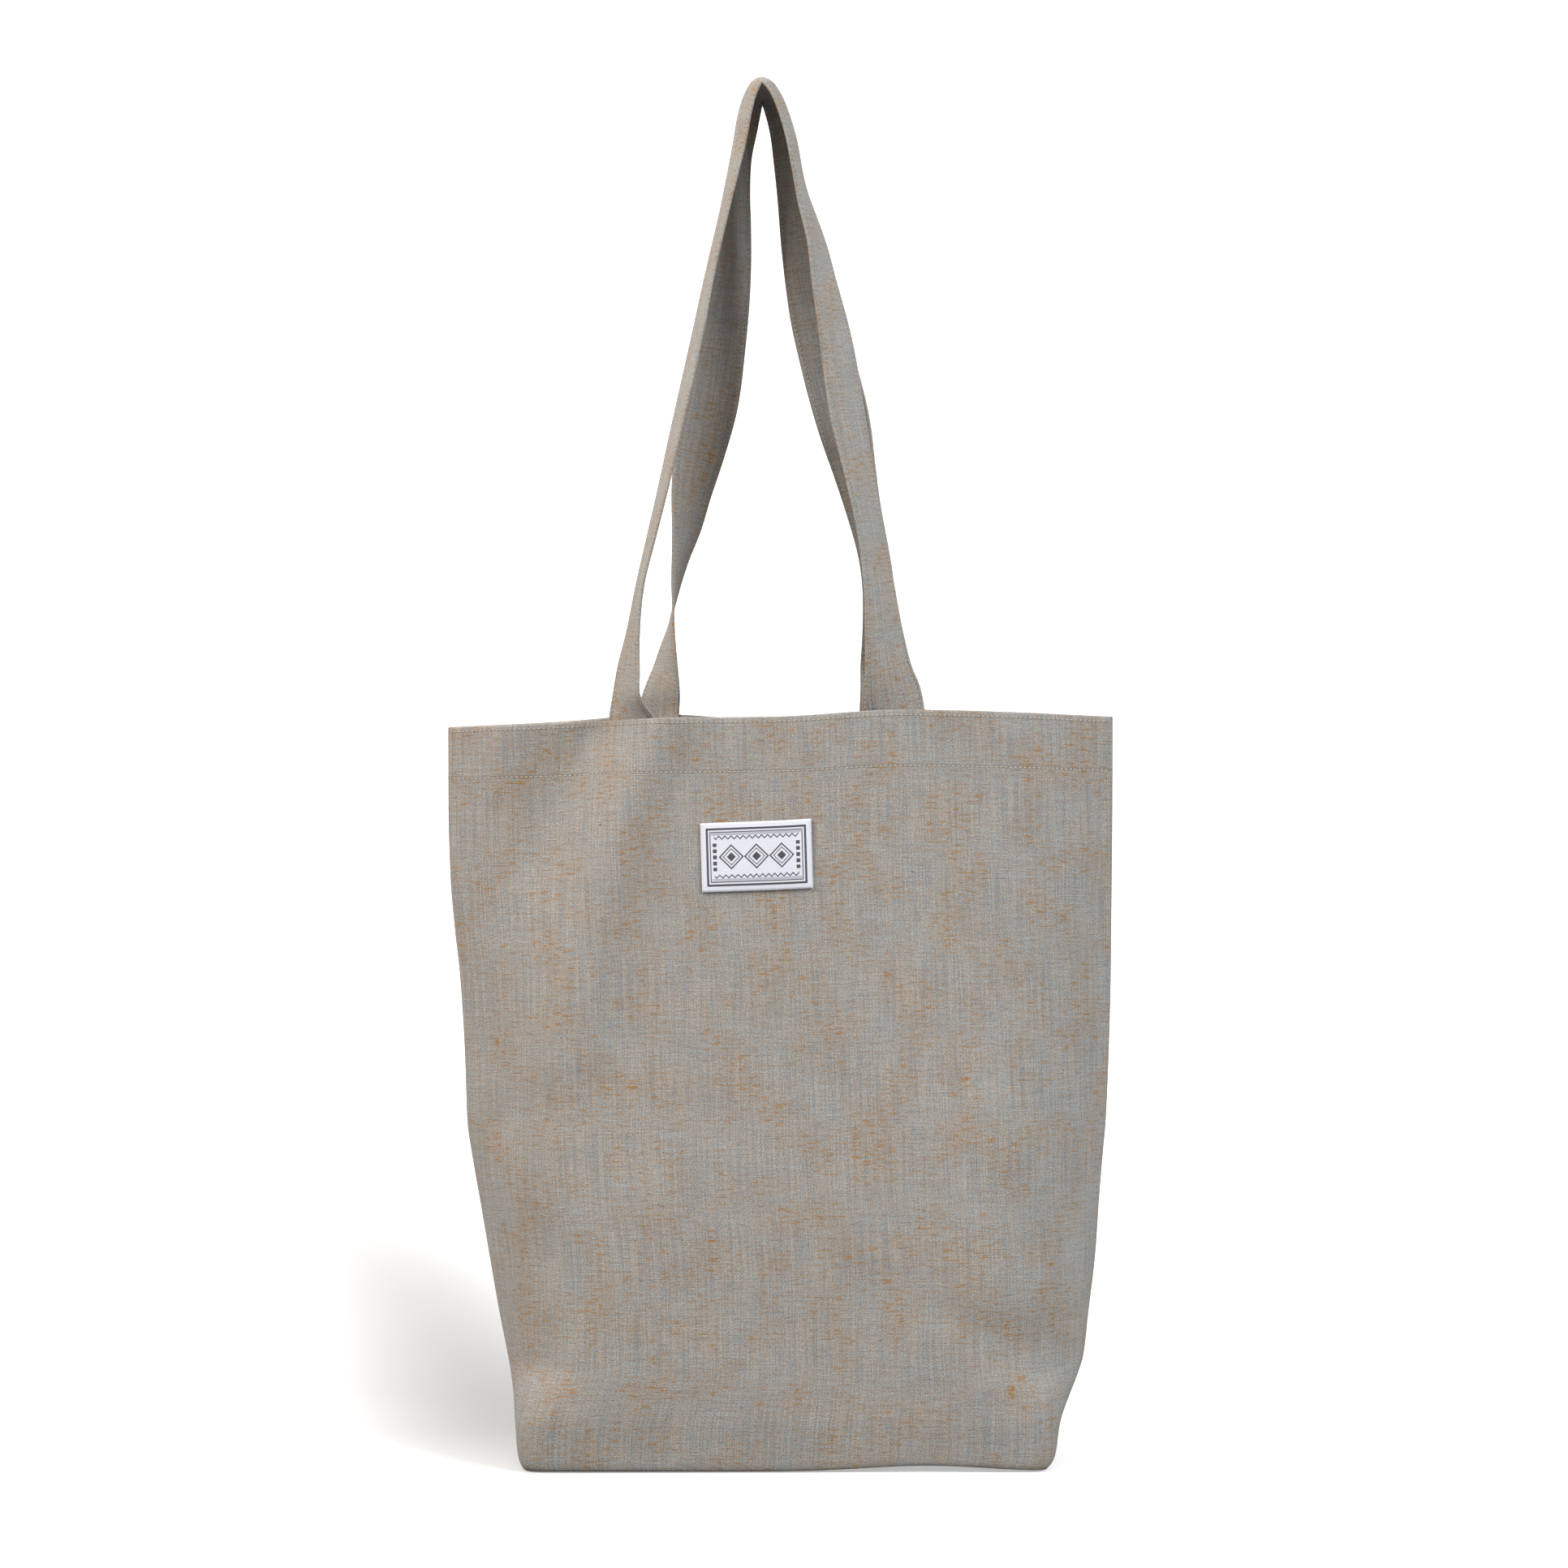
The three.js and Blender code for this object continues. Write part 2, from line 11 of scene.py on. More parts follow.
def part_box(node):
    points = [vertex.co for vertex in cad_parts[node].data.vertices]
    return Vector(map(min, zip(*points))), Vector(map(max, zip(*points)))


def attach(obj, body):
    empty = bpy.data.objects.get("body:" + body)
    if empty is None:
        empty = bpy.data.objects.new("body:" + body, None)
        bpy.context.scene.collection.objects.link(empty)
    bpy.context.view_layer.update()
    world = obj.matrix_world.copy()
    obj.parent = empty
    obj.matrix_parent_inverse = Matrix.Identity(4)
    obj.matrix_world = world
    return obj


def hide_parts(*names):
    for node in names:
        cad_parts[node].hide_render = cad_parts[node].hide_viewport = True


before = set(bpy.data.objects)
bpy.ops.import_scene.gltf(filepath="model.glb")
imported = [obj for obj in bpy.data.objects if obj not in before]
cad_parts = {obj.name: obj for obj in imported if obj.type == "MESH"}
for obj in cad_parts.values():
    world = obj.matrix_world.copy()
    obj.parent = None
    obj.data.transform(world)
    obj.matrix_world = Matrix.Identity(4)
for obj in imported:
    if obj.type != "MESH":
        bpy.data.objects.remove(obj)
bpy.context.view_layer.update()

mm = 0.001


# Tables and curves

def easeThrough(places, values, at):
    # a cubic through the rows of a table that never overshoots them
    places = np.asarray(places, float)
    values = np.asarray(values, float)
    steps = np.diff(places)
    rises = np.diff(values) / steps
    slopes = np.zeros(len(places))
    slopes[0], slopes[-1] = rises[0], rises[-1]
    same = rises[1:] * rises[:-1] > 0
    both = np.where(same, rises[1:] + rises[:-1], 1)
    slopes[1:-1] = np.where(same, 2 * rises[1:] * rises[:-1] / both, 0)
    i = np.clip(np.searchsorted(places, at, side="right") - 1, 0, len(places) - 2)
    t = np.clip((at - places[i]) / steps[i], 0, 1)
    start = (1 + 2 * t) * (1 - t) ** 2 * values[i] + t * (1 - t) ** 2 * steps[i] * slopes[i]
    end = t * t * (3 - 2 * t) * values[i + 1] + t * t * (t - 1) * steps[i] * slopes[i + 1]
    return start + end


def columns(names, rows):
    # a table's columns by name
    return dict(zip(names, np.array(rows, float).T))


def unit(vectors):
    return vectors / np.maximum(np.linalg.norm(vectors, axis=-1, keepdims=True), 1e-9)


def lengthAlong(points):
    steps = np.linalg.norm(np.diff(points, axis=0), axis=-1)
    return np.concatenate([[0], np.cumsum(steps)])


def bump(distance, span):
    return np.exp(-(distance / span) ** 2)


# The cut and the hang of the bag, in metres and shares of them

bagCut = {
    "width": 0.364,          # laid flat, seam to seam
    "height": 0.3855,
    "gusset": 0.1,
    "cloth": 0.0007,         # thickness
    "hem": 0.03,
    "rimDip": 0.009,
    "edgeLift": 0.003,       # a wave in the front's lower edge, at this share of the width
    "edgeLiftAt": (0.7, 0.12),
    "edgeLiftHeight": 0.05,
    "hangAcross": -0.0126,   # the hanging point from the middle of the base
}
halfGusset = bagCut["gusset"] / 2
halfBase = (bagCut["width"] - bagCut["gusset"]) / 2
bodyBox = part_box("body")
baseZ = bodyBox[0][2]
middleX = -bagCut["hangAcross"]

outline = columns(("height", "left", "right", "front", "back", "flat", "round"), [
    (0, 0.03, 0.03, 0.985, 0.985, 40, 8),
    (0.006, 0.06, 0.07, 0.998, 0.998, 40, 8),
    (0.016, 0.085, 0.11, 1, 1, 36, 7),
    (0.055, 0.125, 0.176, 1, 1, 24, 4.6),
    (0.085, 0.16, 0.274, 0.99, 0.99, 14, 3),
    (0.134, 0.232, 0.442, 0.97, 0.98, 7, 1.6),
    (0.19, 0.318, 0.494, 0.94, 0.96, 6, 1.45),
    (0.27, 0.426, 0.566, 0.9, 0.94, 5.2, 1.3),
    (0.345, 0.525, 0.606, 0.86, 0.92, 4.6, 1.22),
    (0.405, 0.605, 0.644, 0.82, 0.9, 4.2, 1.17),
    (0.45, 0.654, 0.674, 0.79, 0.88, 3.9, 1.14),
    (0.545, 0.68, 0.706, 0.73, 0.86, 3.4, 1.1),
    (0.65, 0.73, 0.727, 0.67, 0.84, 3, 1.06),
    (0.72, 0.788, 0.732, 0.63, 0.83, 2.8, 1.04),
    (0.79, 0.83, 0.738, 0.6, 0.82, 2.6, 1.02),
    (0.89, 0.85, 0.744, 0.55, 0.81, 2.4, 1),
    (1, 0.852, 0.746, 0.52, 0.8, 2.3, 1),
])

# Soft folds on each panel: a line from end to end, across and height in shares, its span in
# halves of the width, and its push outwards at both ends in halves of the gusset.
folds = {
    "front": [
        ((-0.5, 1.03, -0.74, 0.74), 0.12, (-0.3, -0.04)),
        ((-0.4, 1.03, -0.8, 0.36), 0.12, (0.21, 0.09)),
        ((-0.8, 1.02, -0.88, 0.88), 0.08, (0.12, 0.02)),
        ((0.66, 0.42, 0.6, 0.22), 0.2, (0.07, 0.07)),
        ((0.97, 0.13, 0.3, 0.24), 0.07, (-0.07, -0.01)),
        ((-0.97, 0.44, -0.6, 0.5), 0.07, (-0.08, -0.01)),
    ],
    "back": [
        ((-0.5, 1.03, -0.7, 0.5), 0.12, (0.14, 0.02)),
        ((-0.22, 1.03, -0.36, 0.62), 0.11, (-0.66, -0.03)),
    ],
}

rimLine = columns(("across", "front", "back"), [
    (-1, 1, 1),
    (-0.7, 0.8, 0.66),
    (-0.38, 0.52, 0.2),
    (0, 0.43, 0.5),
    (0.38, 0.02, 0.08),
    (0.65, 0.12, 0.2),
    (1, 0.39, 0.39),
])

skinSteps = {"height": 300, "across": 132, "trace": 480}


def foldPush(panel, across, height):
    total = np.zeros_like(across)
    half = bagCut["width"] / 2
    for (x0, h0, x1, h1), span, (pushStart, pushEnd) in folds[panel]:
        runX, runZ = (x1 - x0) * half, (h1 - h0) * bagCut["height"]
        fromX, fromZ = (across - x0) * half, (height - h0) * bagCut["height"]
        t = np.clip((fromX * runX + fromZ * runZ) / (runX ** 2 + runZ ** 2), 0, 1)
        away = np.hypot(fromX - t * runX, fromZ - t * runZ)
        push = pushStart + (pushEnd - pushStart) * t
        total += push * bump(away, span * half) * halfGusset
    return total * (1 - across ** 8)


def panelSection(panel, height, shares):
    # points of one panel at a height, spaced evenly by the cloth between the side seams
    row = {}
    for name in ("left", "right", panel, "flat", "round"):
        row[name] = float(easeThrough(outline["height"], outline[name], np.array([height]))[0])
    across = -np.cos(np.linspace(0, np.pi, skinSteps["trace"]))
    reach = halfBase + np.where(across < 0, row["left"], row["right"]) * halfGusset
    swell = np.maximum(1 - np.abs(across) ** row["flat"], 0) ** (1 / row["round"])
    depth = row[panel] * halfGusset * swell + foldPush(panel, across, height)
    depth[0] = depth[-1] = 0
    sign = -1 if panel == "front" else 1
    line = np.stack([across * reach, sign * depth], axis=1)
    along = lengthAlong(line)
    along /= along[-1]
    return np.stack([np.interp(shares, along, line[:, i]) for i in (0, 1)], axis=1)


def makeSkin(panel):
    # the cloth's outer face: a grid of points by height and by share of the panel's width
    heights = np.linspace(0, 1, skinSteps["height"] + 1)
    shares = np.linspace(0, 1, skinSteps["across"] + 1)
    sag = easeThrough(rimLine["across"], rimLine[panel], 2 * shares - 1) * bagCut["rimDip"]
    liftAt, liftSpan = bagCut["edgeLiftAt"]
    lift = bagCut["edgeLift"] if panel == "front" else 0
    wave = lift * bump(shares - liftAt, liftSpan)
    skin = np.zeros((len(heights), len(shares), 3))
    for i, height in enumerate(heights):
        skin[i, :, :2] = panelSection(panel, height, shares)
        low = max(0, 1 - height / bagCut["edgeLiftHeight"])
        skin[i, :, 2] = height * bagCut["height"] - sag * height ** 3 + wave * low
    return skin


def skinNormals(skin, panel):
    across = np.gradient(skin, axis=1)
    up = np.gradient(skin, axis=0)
    normals = np.cross(across, up)
    return unit(normals if panel == "front" else -normals)


creases = {
    "broad": (0.075, 0.11, 1.3),     # size across and up in metres, depth in mm
    "slant": (0.035, 0.09, 0.7),
    "fine": (0.013, 0.02, 0.16),
    "lean": 0.5,                     # of the slanted ones
    "fade": (0.07, 0.06),            # towards the side seams and the base, in shares
    "seed": {"front": 3.1, "back": 17.7},
}


def roughen(panel, skin, normals):
    # small creases of worn-in cotton, faded out at the side seams so that both panels still meet
    rowCount, shareCount = skin.shape[:2]
    seed, lean = creases["seed"][panel], creases["lean"]
    broadX, broadZ, broadDepth = creases["broad"]
    slantX, slantZ, slantDepth = creases["slant"]
    fineX, fineZ, fineDepth = creases["fine"]
    away = np.zeros((rowCount, shareCount))
    for i, z in enumerate(np.linspace(0, bagCut["height"], rowCount)):
        for j, x in enumerate(np.linspace(0, bagCut["width"], shareCount)):
            broad = noise.noise(Vector((x / broadX + seed, z / broadZ, seed)))
            slantAt = ((x + lean * z) / slantX, (z - lean * x) / slantZ, seed + 5)
            slant = noise.noise(Vector(slantAt))
            fine = noise.noise(Vector((x / fineX, z / fineZ, seed + 9)))
            away[i, j] = broadDepth * broad + slantDepth * slant + fineDepth * fine
    share = np.linspace(0, 1, shareCount)
    fade = np.clip(np.minimum(share, 1 - share) / creases["fade"][0], 0, 1)
    fade = fade * fade * (3 - 2 * fade)
    low = np.clip(np.linspace(0, 1, rowCount) / creases["fade"][1], 0, 1)[:, None]
    return skin + normals * (away * fade * low * mm)[..., None]


skins = {}
normalsOf = {}
for panelName in ("front", "back"):
    plain = makeSkin(panelName)
    skins[panelName] = roughen(panelName, plain, skinNormals(plain, panelName))
    normalsOf[panelName] = skinNormals(skins[panelName], panelName)
print("bag: cloth surface worked out")


def sample(grid, height, share):
    # reads a grid of the cloth between its points
    lastRow, lastColumn = grid.shape[0] - 1, grid.shape[1] - 1
    y = np.clip(np.asarray(height, float), 0, 1) * lastRow
    x = np.clip(np.asarray(share, float), 0, 1) * lastColumn
    i = np.minimum(y.astype(int), lastRow - 1)
    j = np.minimum(x.astype(int), lastColumn - 1)
    ty, tx = (y - i)[..., None], (x - j)[..., None]
    low = grid[i, j] * (1 - tx) + grid[i, j + 1] * tx
    high = grid[i + 1, j] * (1 - tx) + grid[i + 1, j + 1] * tx
    return low * (1 - ty) + high * ty


def onCloth(panel, height, share, out):
    # a point that stands off the cloth's outer face, inwards where out is negative
    point = sample(skins[panel], height, share)
    normal = unit(sample(normalsOf[panel], height, share))
    return point + normal * np.asarray(out)[..., None], normal


def placed(points):
    return points + np.array([middleX, 0, baseZ])


# Mesh helpers

def gridMesh(name, points, uv=None, closed=False, weld=0.00002):
    # a grid of quads laid over rows and columns of points
    lastRow, lastColumn = points.shape[0] - 1, points.shape[1] - 1
    bm = bmesh.new()
    bmesh.ops.create_grid(bm, x_segments=lastColumn, y_segments=lastRow, size=1)
    bm.verts.ensure_lookup_table()
    places = {}
    for vert in bm.verts:
        j = round((vert.co.x + 1) / 2 * lastColumn)
        i = round((vert.co.y + 1) / 2 * lastRow)
        places[vert.index] = (i, j)
    for vert in bm.verts:
        vert.co = points[places[vert.index]]
    if uv is not None:
        layer = bm.loops.layers.uv.new("cloth")
        for face in bm.faces:
            for loop in face.loops:
                loop[layer].uv = uv[places[loop.vert.index]]
    if closed:
        bmesh.ops.remove_doubles(bm, verts=bm.verts, dist=weld)
    bmesh.ops.recalc_face_normals(bm, faces=bm.faces)
    for face in bm.faces:
        face.smooth = True
    mesh = bpy.data.meshes.new(name)
    bm.to_mesh(mesh)
    bm.free()
    return addObject(name, mesh)


def addObject(name, mesh):
    piece = bpy.data.objects.new(name, mesh)
    bpy.context.scene.collection.objects.link(piece)
    return piece


def giveMaterial(piece, material):
    piece.data.materials.clear()
    piece.data.materials.append(material)
    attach(piece, "root")


# The straps and the rows of stitches, named here for the materials too

strap = {
    "width": 0.03,
    "thickness": 0.0015,
    "spacing": 0.138,
    "rise": 0.327,
    "feet": {"front": (0.283, 0.677), "back": (0.316, 0.686)},    # shares of the bag's width
    "footInset": 0.00335,    # the middle of the strap behind the cloth's outer face
    "columns": 9,
    "step": 0.0032,
    "edgeRound": 0.97,       # where the rolled edge starts, as a share of half the width
    "pinch": 0.38,           # how much thinner the stitches draw the strap, and how far around
    "pinchSpan": 0.035,
    "clothStart": {"front": 0.9, "back": 1.7},    # where each strap is cut from the cloth
}
sewnAt = 0.85                # rows of stitches on a strap, as a share of half its width
strapFaceStep = 0.036        # from the middle of one face to the middle of the other, on the cloth
stitchDrops = (0.0028, bagCut["hem"] - 0.0012)    # rows of stitches below the rim


# Materials

def toLinear(hexColour):
    parts = [int(hexColour[i:i + 2], 16) / 255 for i in (1, 3, 5)]
    return tuple(c / 12.92 if c <= 0.04045 else ((c + 0.055) / 1.055) ** 2.4 for c in parts) + (1.0,)


def addNode(tree, kind, *feeds, **settings):
    # Feeds go to the sockets in order, or by name where they come as a dictionary. Each is a
    # value, a socket, or a node, of which the first output in use is taken.
    node = tree.nodes.new("ShaderNode" + kind)
    for key, value in settings.items():
        setattr(node, key, value)
    sockets = [socket for socket in node.inputs if socket.enabled]
    named = feeds and isinstance(feeds[0], dict)
    for key, value in (feeds[0].items() if named else enumerate(feeds)):
        socket = next(s for s in sockets if s.name == key) if named else sockets[key]
        if isinstance(value, bpy.types.Node):
            value = next(output for output in value.outputs if output.enabled)
        if isinstance(value, bpy.types.NodeSocket):
            tree.links.new(value, socket)
        else:
            socket.default_value = value
    return node


def newMaterial(name):
    # a blank material, and addNode ready for its tree
    material = bpy.data.materials.new(name)
    material.use_nodes = True
    material.node_tree.nodes.clear()
    return material, partial(addNode, material.node_tree)


chambrayLook = {
    "blueGrey": "#7C8992",
    "beige": "#A79583",
    "pale": "#B1ADA7",
    "rust": "#A47C4C",
    "blueSlub": "#6C8391",
    "nep": "#46413C",
    "thread": 0.00082,       # a real thread is about 0.45 mm, drawn coarser so that it shows
    "slub": 0.0065,          # length of a slub, and of a streak along a thread
    "streak": 0.045,
    "wander": 5.0,           # how far the threads stray from straight, in radians of the weave
    "nepEvery": 0.014,
    "nepSize": 0.05,
    # what lies over the weave, one after the other: how strongly, and in which colour
    "layers": {
        "tint": (0.2, "rust"),
        "cool": (0.1, "blueSlub"),
        "rustSlubs": (0.95, "rust"),
        "blueSlubs": (0.3, "blueSlub"),
        "paleThreads": (0.3, "pale"),
        "neps": (0.7, "nep"),
    },
    "crownShade": 0.24,      # painted shade from the height of a thread, tone from the grain, and tone for all
    "grainShade": 0.52,
    "baseShade": 0.565,
    # painted shade along the rows of stitches, fading out between the two distances from a row
    "grooveShade": 0.17,
    "grooveEdges": (0.0011, 0.0002),
    "relief": 0.00025,
    "roughness": 0.92,
    "sheen": 0.08,
}


def chambray(name, seams, brightness=1.0):
    # Slub cotton chambray, plain woven from blue-grey warp and beige weft: matte, with
    # uneven threads, short rust and blue slubs across, small neps and a pebbly relief.
    look = chambrayLook
    material, add = newMaterial(name)
    place = add("UVMap", uv_map="cloth")
    parts = add("SeparateXYZ", place)
    u, v = parts.outputs["X"], parts.outputs["Y"]
    thread, slub, streak = look["thread"], look["slub"], look["streak"]

    patterns = {
        # size across and along, seed, detail, roughness, and the range spread out to 0 to 1
        "wanderU": (thread * 5, thread * 14, 2.0, 2.0, 0.5, None),
        "wanderV": (thread * 14, thread * 5, 8.0, 2.0, 0.5, None),
        "warps": (thread, streak, 3.0, 3.0, 0.5, (0.32, 0.68)),
        "wefts": (streak * 0.6, thread, 11.0, 3.0, 0.5, (0.32, 0.68)),
        "tint": (0.024, 0.028, 31.0, 2.0, 0.5, (0.4, 0.7)),
        "cool": (0.03, 0.012, 37.0, 2.0, 0.5, (0.45, 0.7)),
        "rustSlubs": (slub, thread * 1.5, 23.0, 1.0, 0.5, (0.58, 0.72)),
        "blueSlubs": (slub * 1.3, thread * 1.5, 41.0, 1.0, 0.5, (0.6, 0.74)),
        "paleThreads": (thread * 1.1, slub * 3, 47.0, 1.0, 0.5, (0.62, 0.7)),
        "nepSize": (0.02, 0.02, 53.0, 2.0, 0.5, (0.5, 0.7)),
        "grain": (thread * 1.1, thread * 1.1, 51.0, 3.0, 0.6, None),
    }
    made = {}
    for pattern, (sizeAcross, sizeAlong, seed, detail, roughness, spread) in patterns.items():
        stretched = add("Mapping", {"Vector": place, "Location": (seed, seed * 0.7, 0),
                                    "Scale": (1 / sizeAcross, 1 / sizeAlong, 1)})
        made[pattern] = add("TexNoise", {"Vector": stretched, "Scale": 1.0, "Detail": detail,
                                         "Roughness": roughness}, noise_dimensions="2D")
        if spread:
            made[pattern] = add("MapRange", {"Value": made[pattern], "From Min": spread[0],
                                             "From Max": spread[1]})

    # the threads wander a little, so no two crossings are alike
    waves, ridges = [], []
    for axis, wander in ((u, made["wanderU"]), (v, made["wanderV"])):
        straight = add("Math", axis, math.pi / thread, operation="MULTIPLY")
        stray = add("Math", wander, look["wander"], operation="MULTIPLY")
        phase = add("Math", straight, stray, operation="ADD")
        waves.append(add("Math", phase, operation="SINE"))
        ridges.append(add("Math", add("Math", phase, operation="COSINE"), operation="ABSOLUTE"))
    crossing = add("Math", *waves, operation="MULTIPLY")
    warpOver = add("MapRange", {"Value": crossing, "From Min": -0.25, "From Max": 0.25})
    weftOver = add("Math", 1.0, warpOver, operation="SUBTRACT")

    pale = toLinear(look["pale"])
    warpColour = add("Mix", made["warps"], toLinear(look["blueGrey"]), pale, data_type="RGBA")
    weftColour = add("Mix", made["wefts"], toLinear(look["beige"]), pale, data_type="RGBA")
    colour = add("Mix", warpOver, weftColour, warpColour, data_type="RGBA")
    # rust slubs come mostly where the cloth is tinted, and neps where their pattern is strong
    often = add("Math", made["tint"], 0.7, operation="MULTIPLY")
    often = add("Math", often, 0.3, operation="ADD")
    made["rustSlubs"] = add("Math", made["rustSlubs"], often, operation="MULTIPLY")
    specks = add("TexVoronoi", {"Vector": place, "Scale": 1 / look["nepEvery"]}, feature="F1")
    reach = add("Math", made["nepSize"], look["nepSize"], operation="MULTIPLY")
    made["neps"] = add("Math", specks, reach, operation="LESS_THAN")
    for pattern, (strength, shade) in look["layers"].items():
        cover = add("Math", made[pattern], strength, operation="MULTIPLY")
        colour = add("Mix", cover, colour, toLinear(look[shade]), data_type="RGBA")

    # each thread stands highest where it runs over the other
    height = 0.0
    for over, ridge, other in ((warpOver, ridges[1], ridges[0]), (weftOver, ridges[0], ridges[1])):
        crown = add("Math", other, 0.35, operation="MULTIPLY")
        crown = add("Math", crown, 0.65, operation="ADD")
        crown = add("Math", ridge, crown, operation="MULTIPLY")
        crown = add("Math", over, crown, operation="MULTIPLY")
        height = add("Math", height, crown, operation="ADD")

    # painted shade darkens the gaps between the threads, and thread by thread the tone varies
    spots = add("MapRange", {"Value": made["grain"], "From Min": 0.25, "From Max": 0.75})
    spots = add("Math", spots, look["grainShade"], operation="MULTIPLY")
    tone = add("Math", height, look["crownShade"], operation="MULTIPLY")
    tone = add("Math", tone, spots, operation="ADD")
    tone = add("Math", tone, look["baseShade"], operation="ADD")
    tone = add("Math", tone, brightness, operation="MULTIPLY")

    # the rows of stitches draw the cloth in: a thin groove along each in the relief, with painted shade
    # darkening its colour
    if seams == "hem":
        behind = add("Math", -bagCut["gusset"], v, operation="SUBTRACT")
        up = add("Math", v, behind, operation="MAXIMUM")
        rowsAt = [bagCut["height"] - drop for drop in stitchDrops]
    else:
        behind = add("Math", u, strapFaceStep, operation="SUBTRACT")
        faces = [add("Math", face, operation="ABSOLUTE") for face in (u, behind)]
        up = add("Math", *faces, operation="MINIMUM")
        rowsAt = [sewnAt * strap["width"] / 2]
    groove = 0.0
    for rowAt in rowsAt:
        away = add("Math", add("Math", up, rowAt, operation="SUBTRACT"), operation="ABSOLUTE")
        near = add("MapRange", {"Value": away, "From Min": look["grooveEdges"][0],
                                "From Max": look["grooveEdges"][1]})
        groove = add("Math", groove, near, operation="MAXIMUM")
    # painted shade: the colour is darkened along each groove
    shadow = add("Math", groove, look["grooveShade"], operation="MULTIPLY")
    shadow = add("Math", 1.0, shadow, operation="SUBTRACT")
    tone = add("Math", tone, shadow, operation="MULTIPLY")
    grey = add("CombineXYZ", tone, tone, tone)
    colour = add("Mix", 1.0, colour, grey, data_type="RGBA", blend_type="MULTIPLY")

    slubs = add("Math", made["rustSlubs"], made["paleThreads"], operation="ADD")
    relief = height
    for part, share, operation in ((made["grain"], 0.8, "ADD"), (slubs, 0.4, "ADD"),
                                   (groove, 1.2, "SUBTRACT")):
        part = add("Math", part, share, operation="MULTIPLY")
        relief = add("Math", relief, part, operation=operation)
    woven = add("Bump", {"Strength": 0.4, "Distance": look["relief"], "Height": relief})
    shader = add("BsdfPrincipled", {
        "Base Color": colour, "Normal": woven, "Roughness": look["roughness"],
        "Sheen Weight": look["sheen"], "Sheen Roughness": 0.5, "Specular IOR Level": 0.2})
    add("OutputMaterial", {"Surface": shader})
    return material


def sewingThread(name, hexColour):
    # Spun polyester sewing thread: two plies twisted together, with a soft low gloss.
    material, add = newMaterial(name)
    place = add("TexCoord").outputs["Object"]
    fuzz = add("TexNoise", {"Vector": place, "Scale": 2500.0, "Detail": 2.0})
    spun = add("Bump", {"Strength": 0.3, "Distance": 0.0001, "Height": fuzz})
    shader = add("BsdfPrincipled", {"Base Color": toLinear(hexColour), "Normal": spun,
                                    "Roughness": 0.65, "Sheen Weight": 0.1})
    add("OutputMaterial", {"Surface": shader})
    return material


bagChambray = chambray("slubChambrayBody", "hem")
handleChambray = chambray("slubChambrayStrap", "strap", 1.02)
seamThread = sewingThread("spunPolyesterThread", "#C2B9A9")
print("materials: chambray and thread")


# The bag: hem foot inside, up to the rim, over it, down the outside and across the base

bagPiece = {
    "rimRadius": 0.00115,
    "rimSteps": 5,
    "hemSteps": 10,
    "wallSteps": 128,
    "baseSteps": 14,
    "footHeight": 0.03,      # share of the height with closer rows, and how many
    "footSteps": 8,
    "baseLine": 0.62,        # the middle line of the base, as a share of its length
    "tipInset": 0.006,       # how deep the side seams are pressed together
    "tipShare": 0.04,        # how far from a seam the layers are kept apart, and by how much
    "tipGap": 0.00015,
    "tipSpread": 0.002,
    "hemCloth": 0.5,         # where the turned hem is cut from the cloth
}


def ringAt(height, inset):
    # both panels at a height, moved inwards, with the seam tips kept blunt
    shares = np.linspace(0, 1, skinSteps["across"] + 1)
    ring = []
    for panel, sign in (("front", -1), ("back", 1)):
        points, _ = onCloth(panel, np.full_like(shares, height), shares, np.full_like(shares, -inset))
        if inset > 0:
            tips = sample(skins[panel], np.array([height, height]), np.array([0.0, 1.0]))
            pressed = bagPiece["tipInset"] * min(1, inset / (2 * bagPiece["rimRadius"])) ** 3
            low = tips[0, 0] + pressed + bagPiece["tipSpread"] * shares
            high = tips[1, 0] - pressed - bagPiece["tipSpread"] * (1 - shares)
            points[:, 0] = np.clip(points[:, 0], low, high)
            near = np.abs(shares - 0.5) > 0.5 - bagPiece["tipShare"]
            apart = sign * np.maximum(sign * points[:, 1], bagPiece["tipGap"])
            points[:, 1] = np.where(near, apart, points[:, 1])
            points[[0, -1], 1] = 0
        ring.append(points if panel == "front" else points[::-1])
    return np.concatenate(ring)


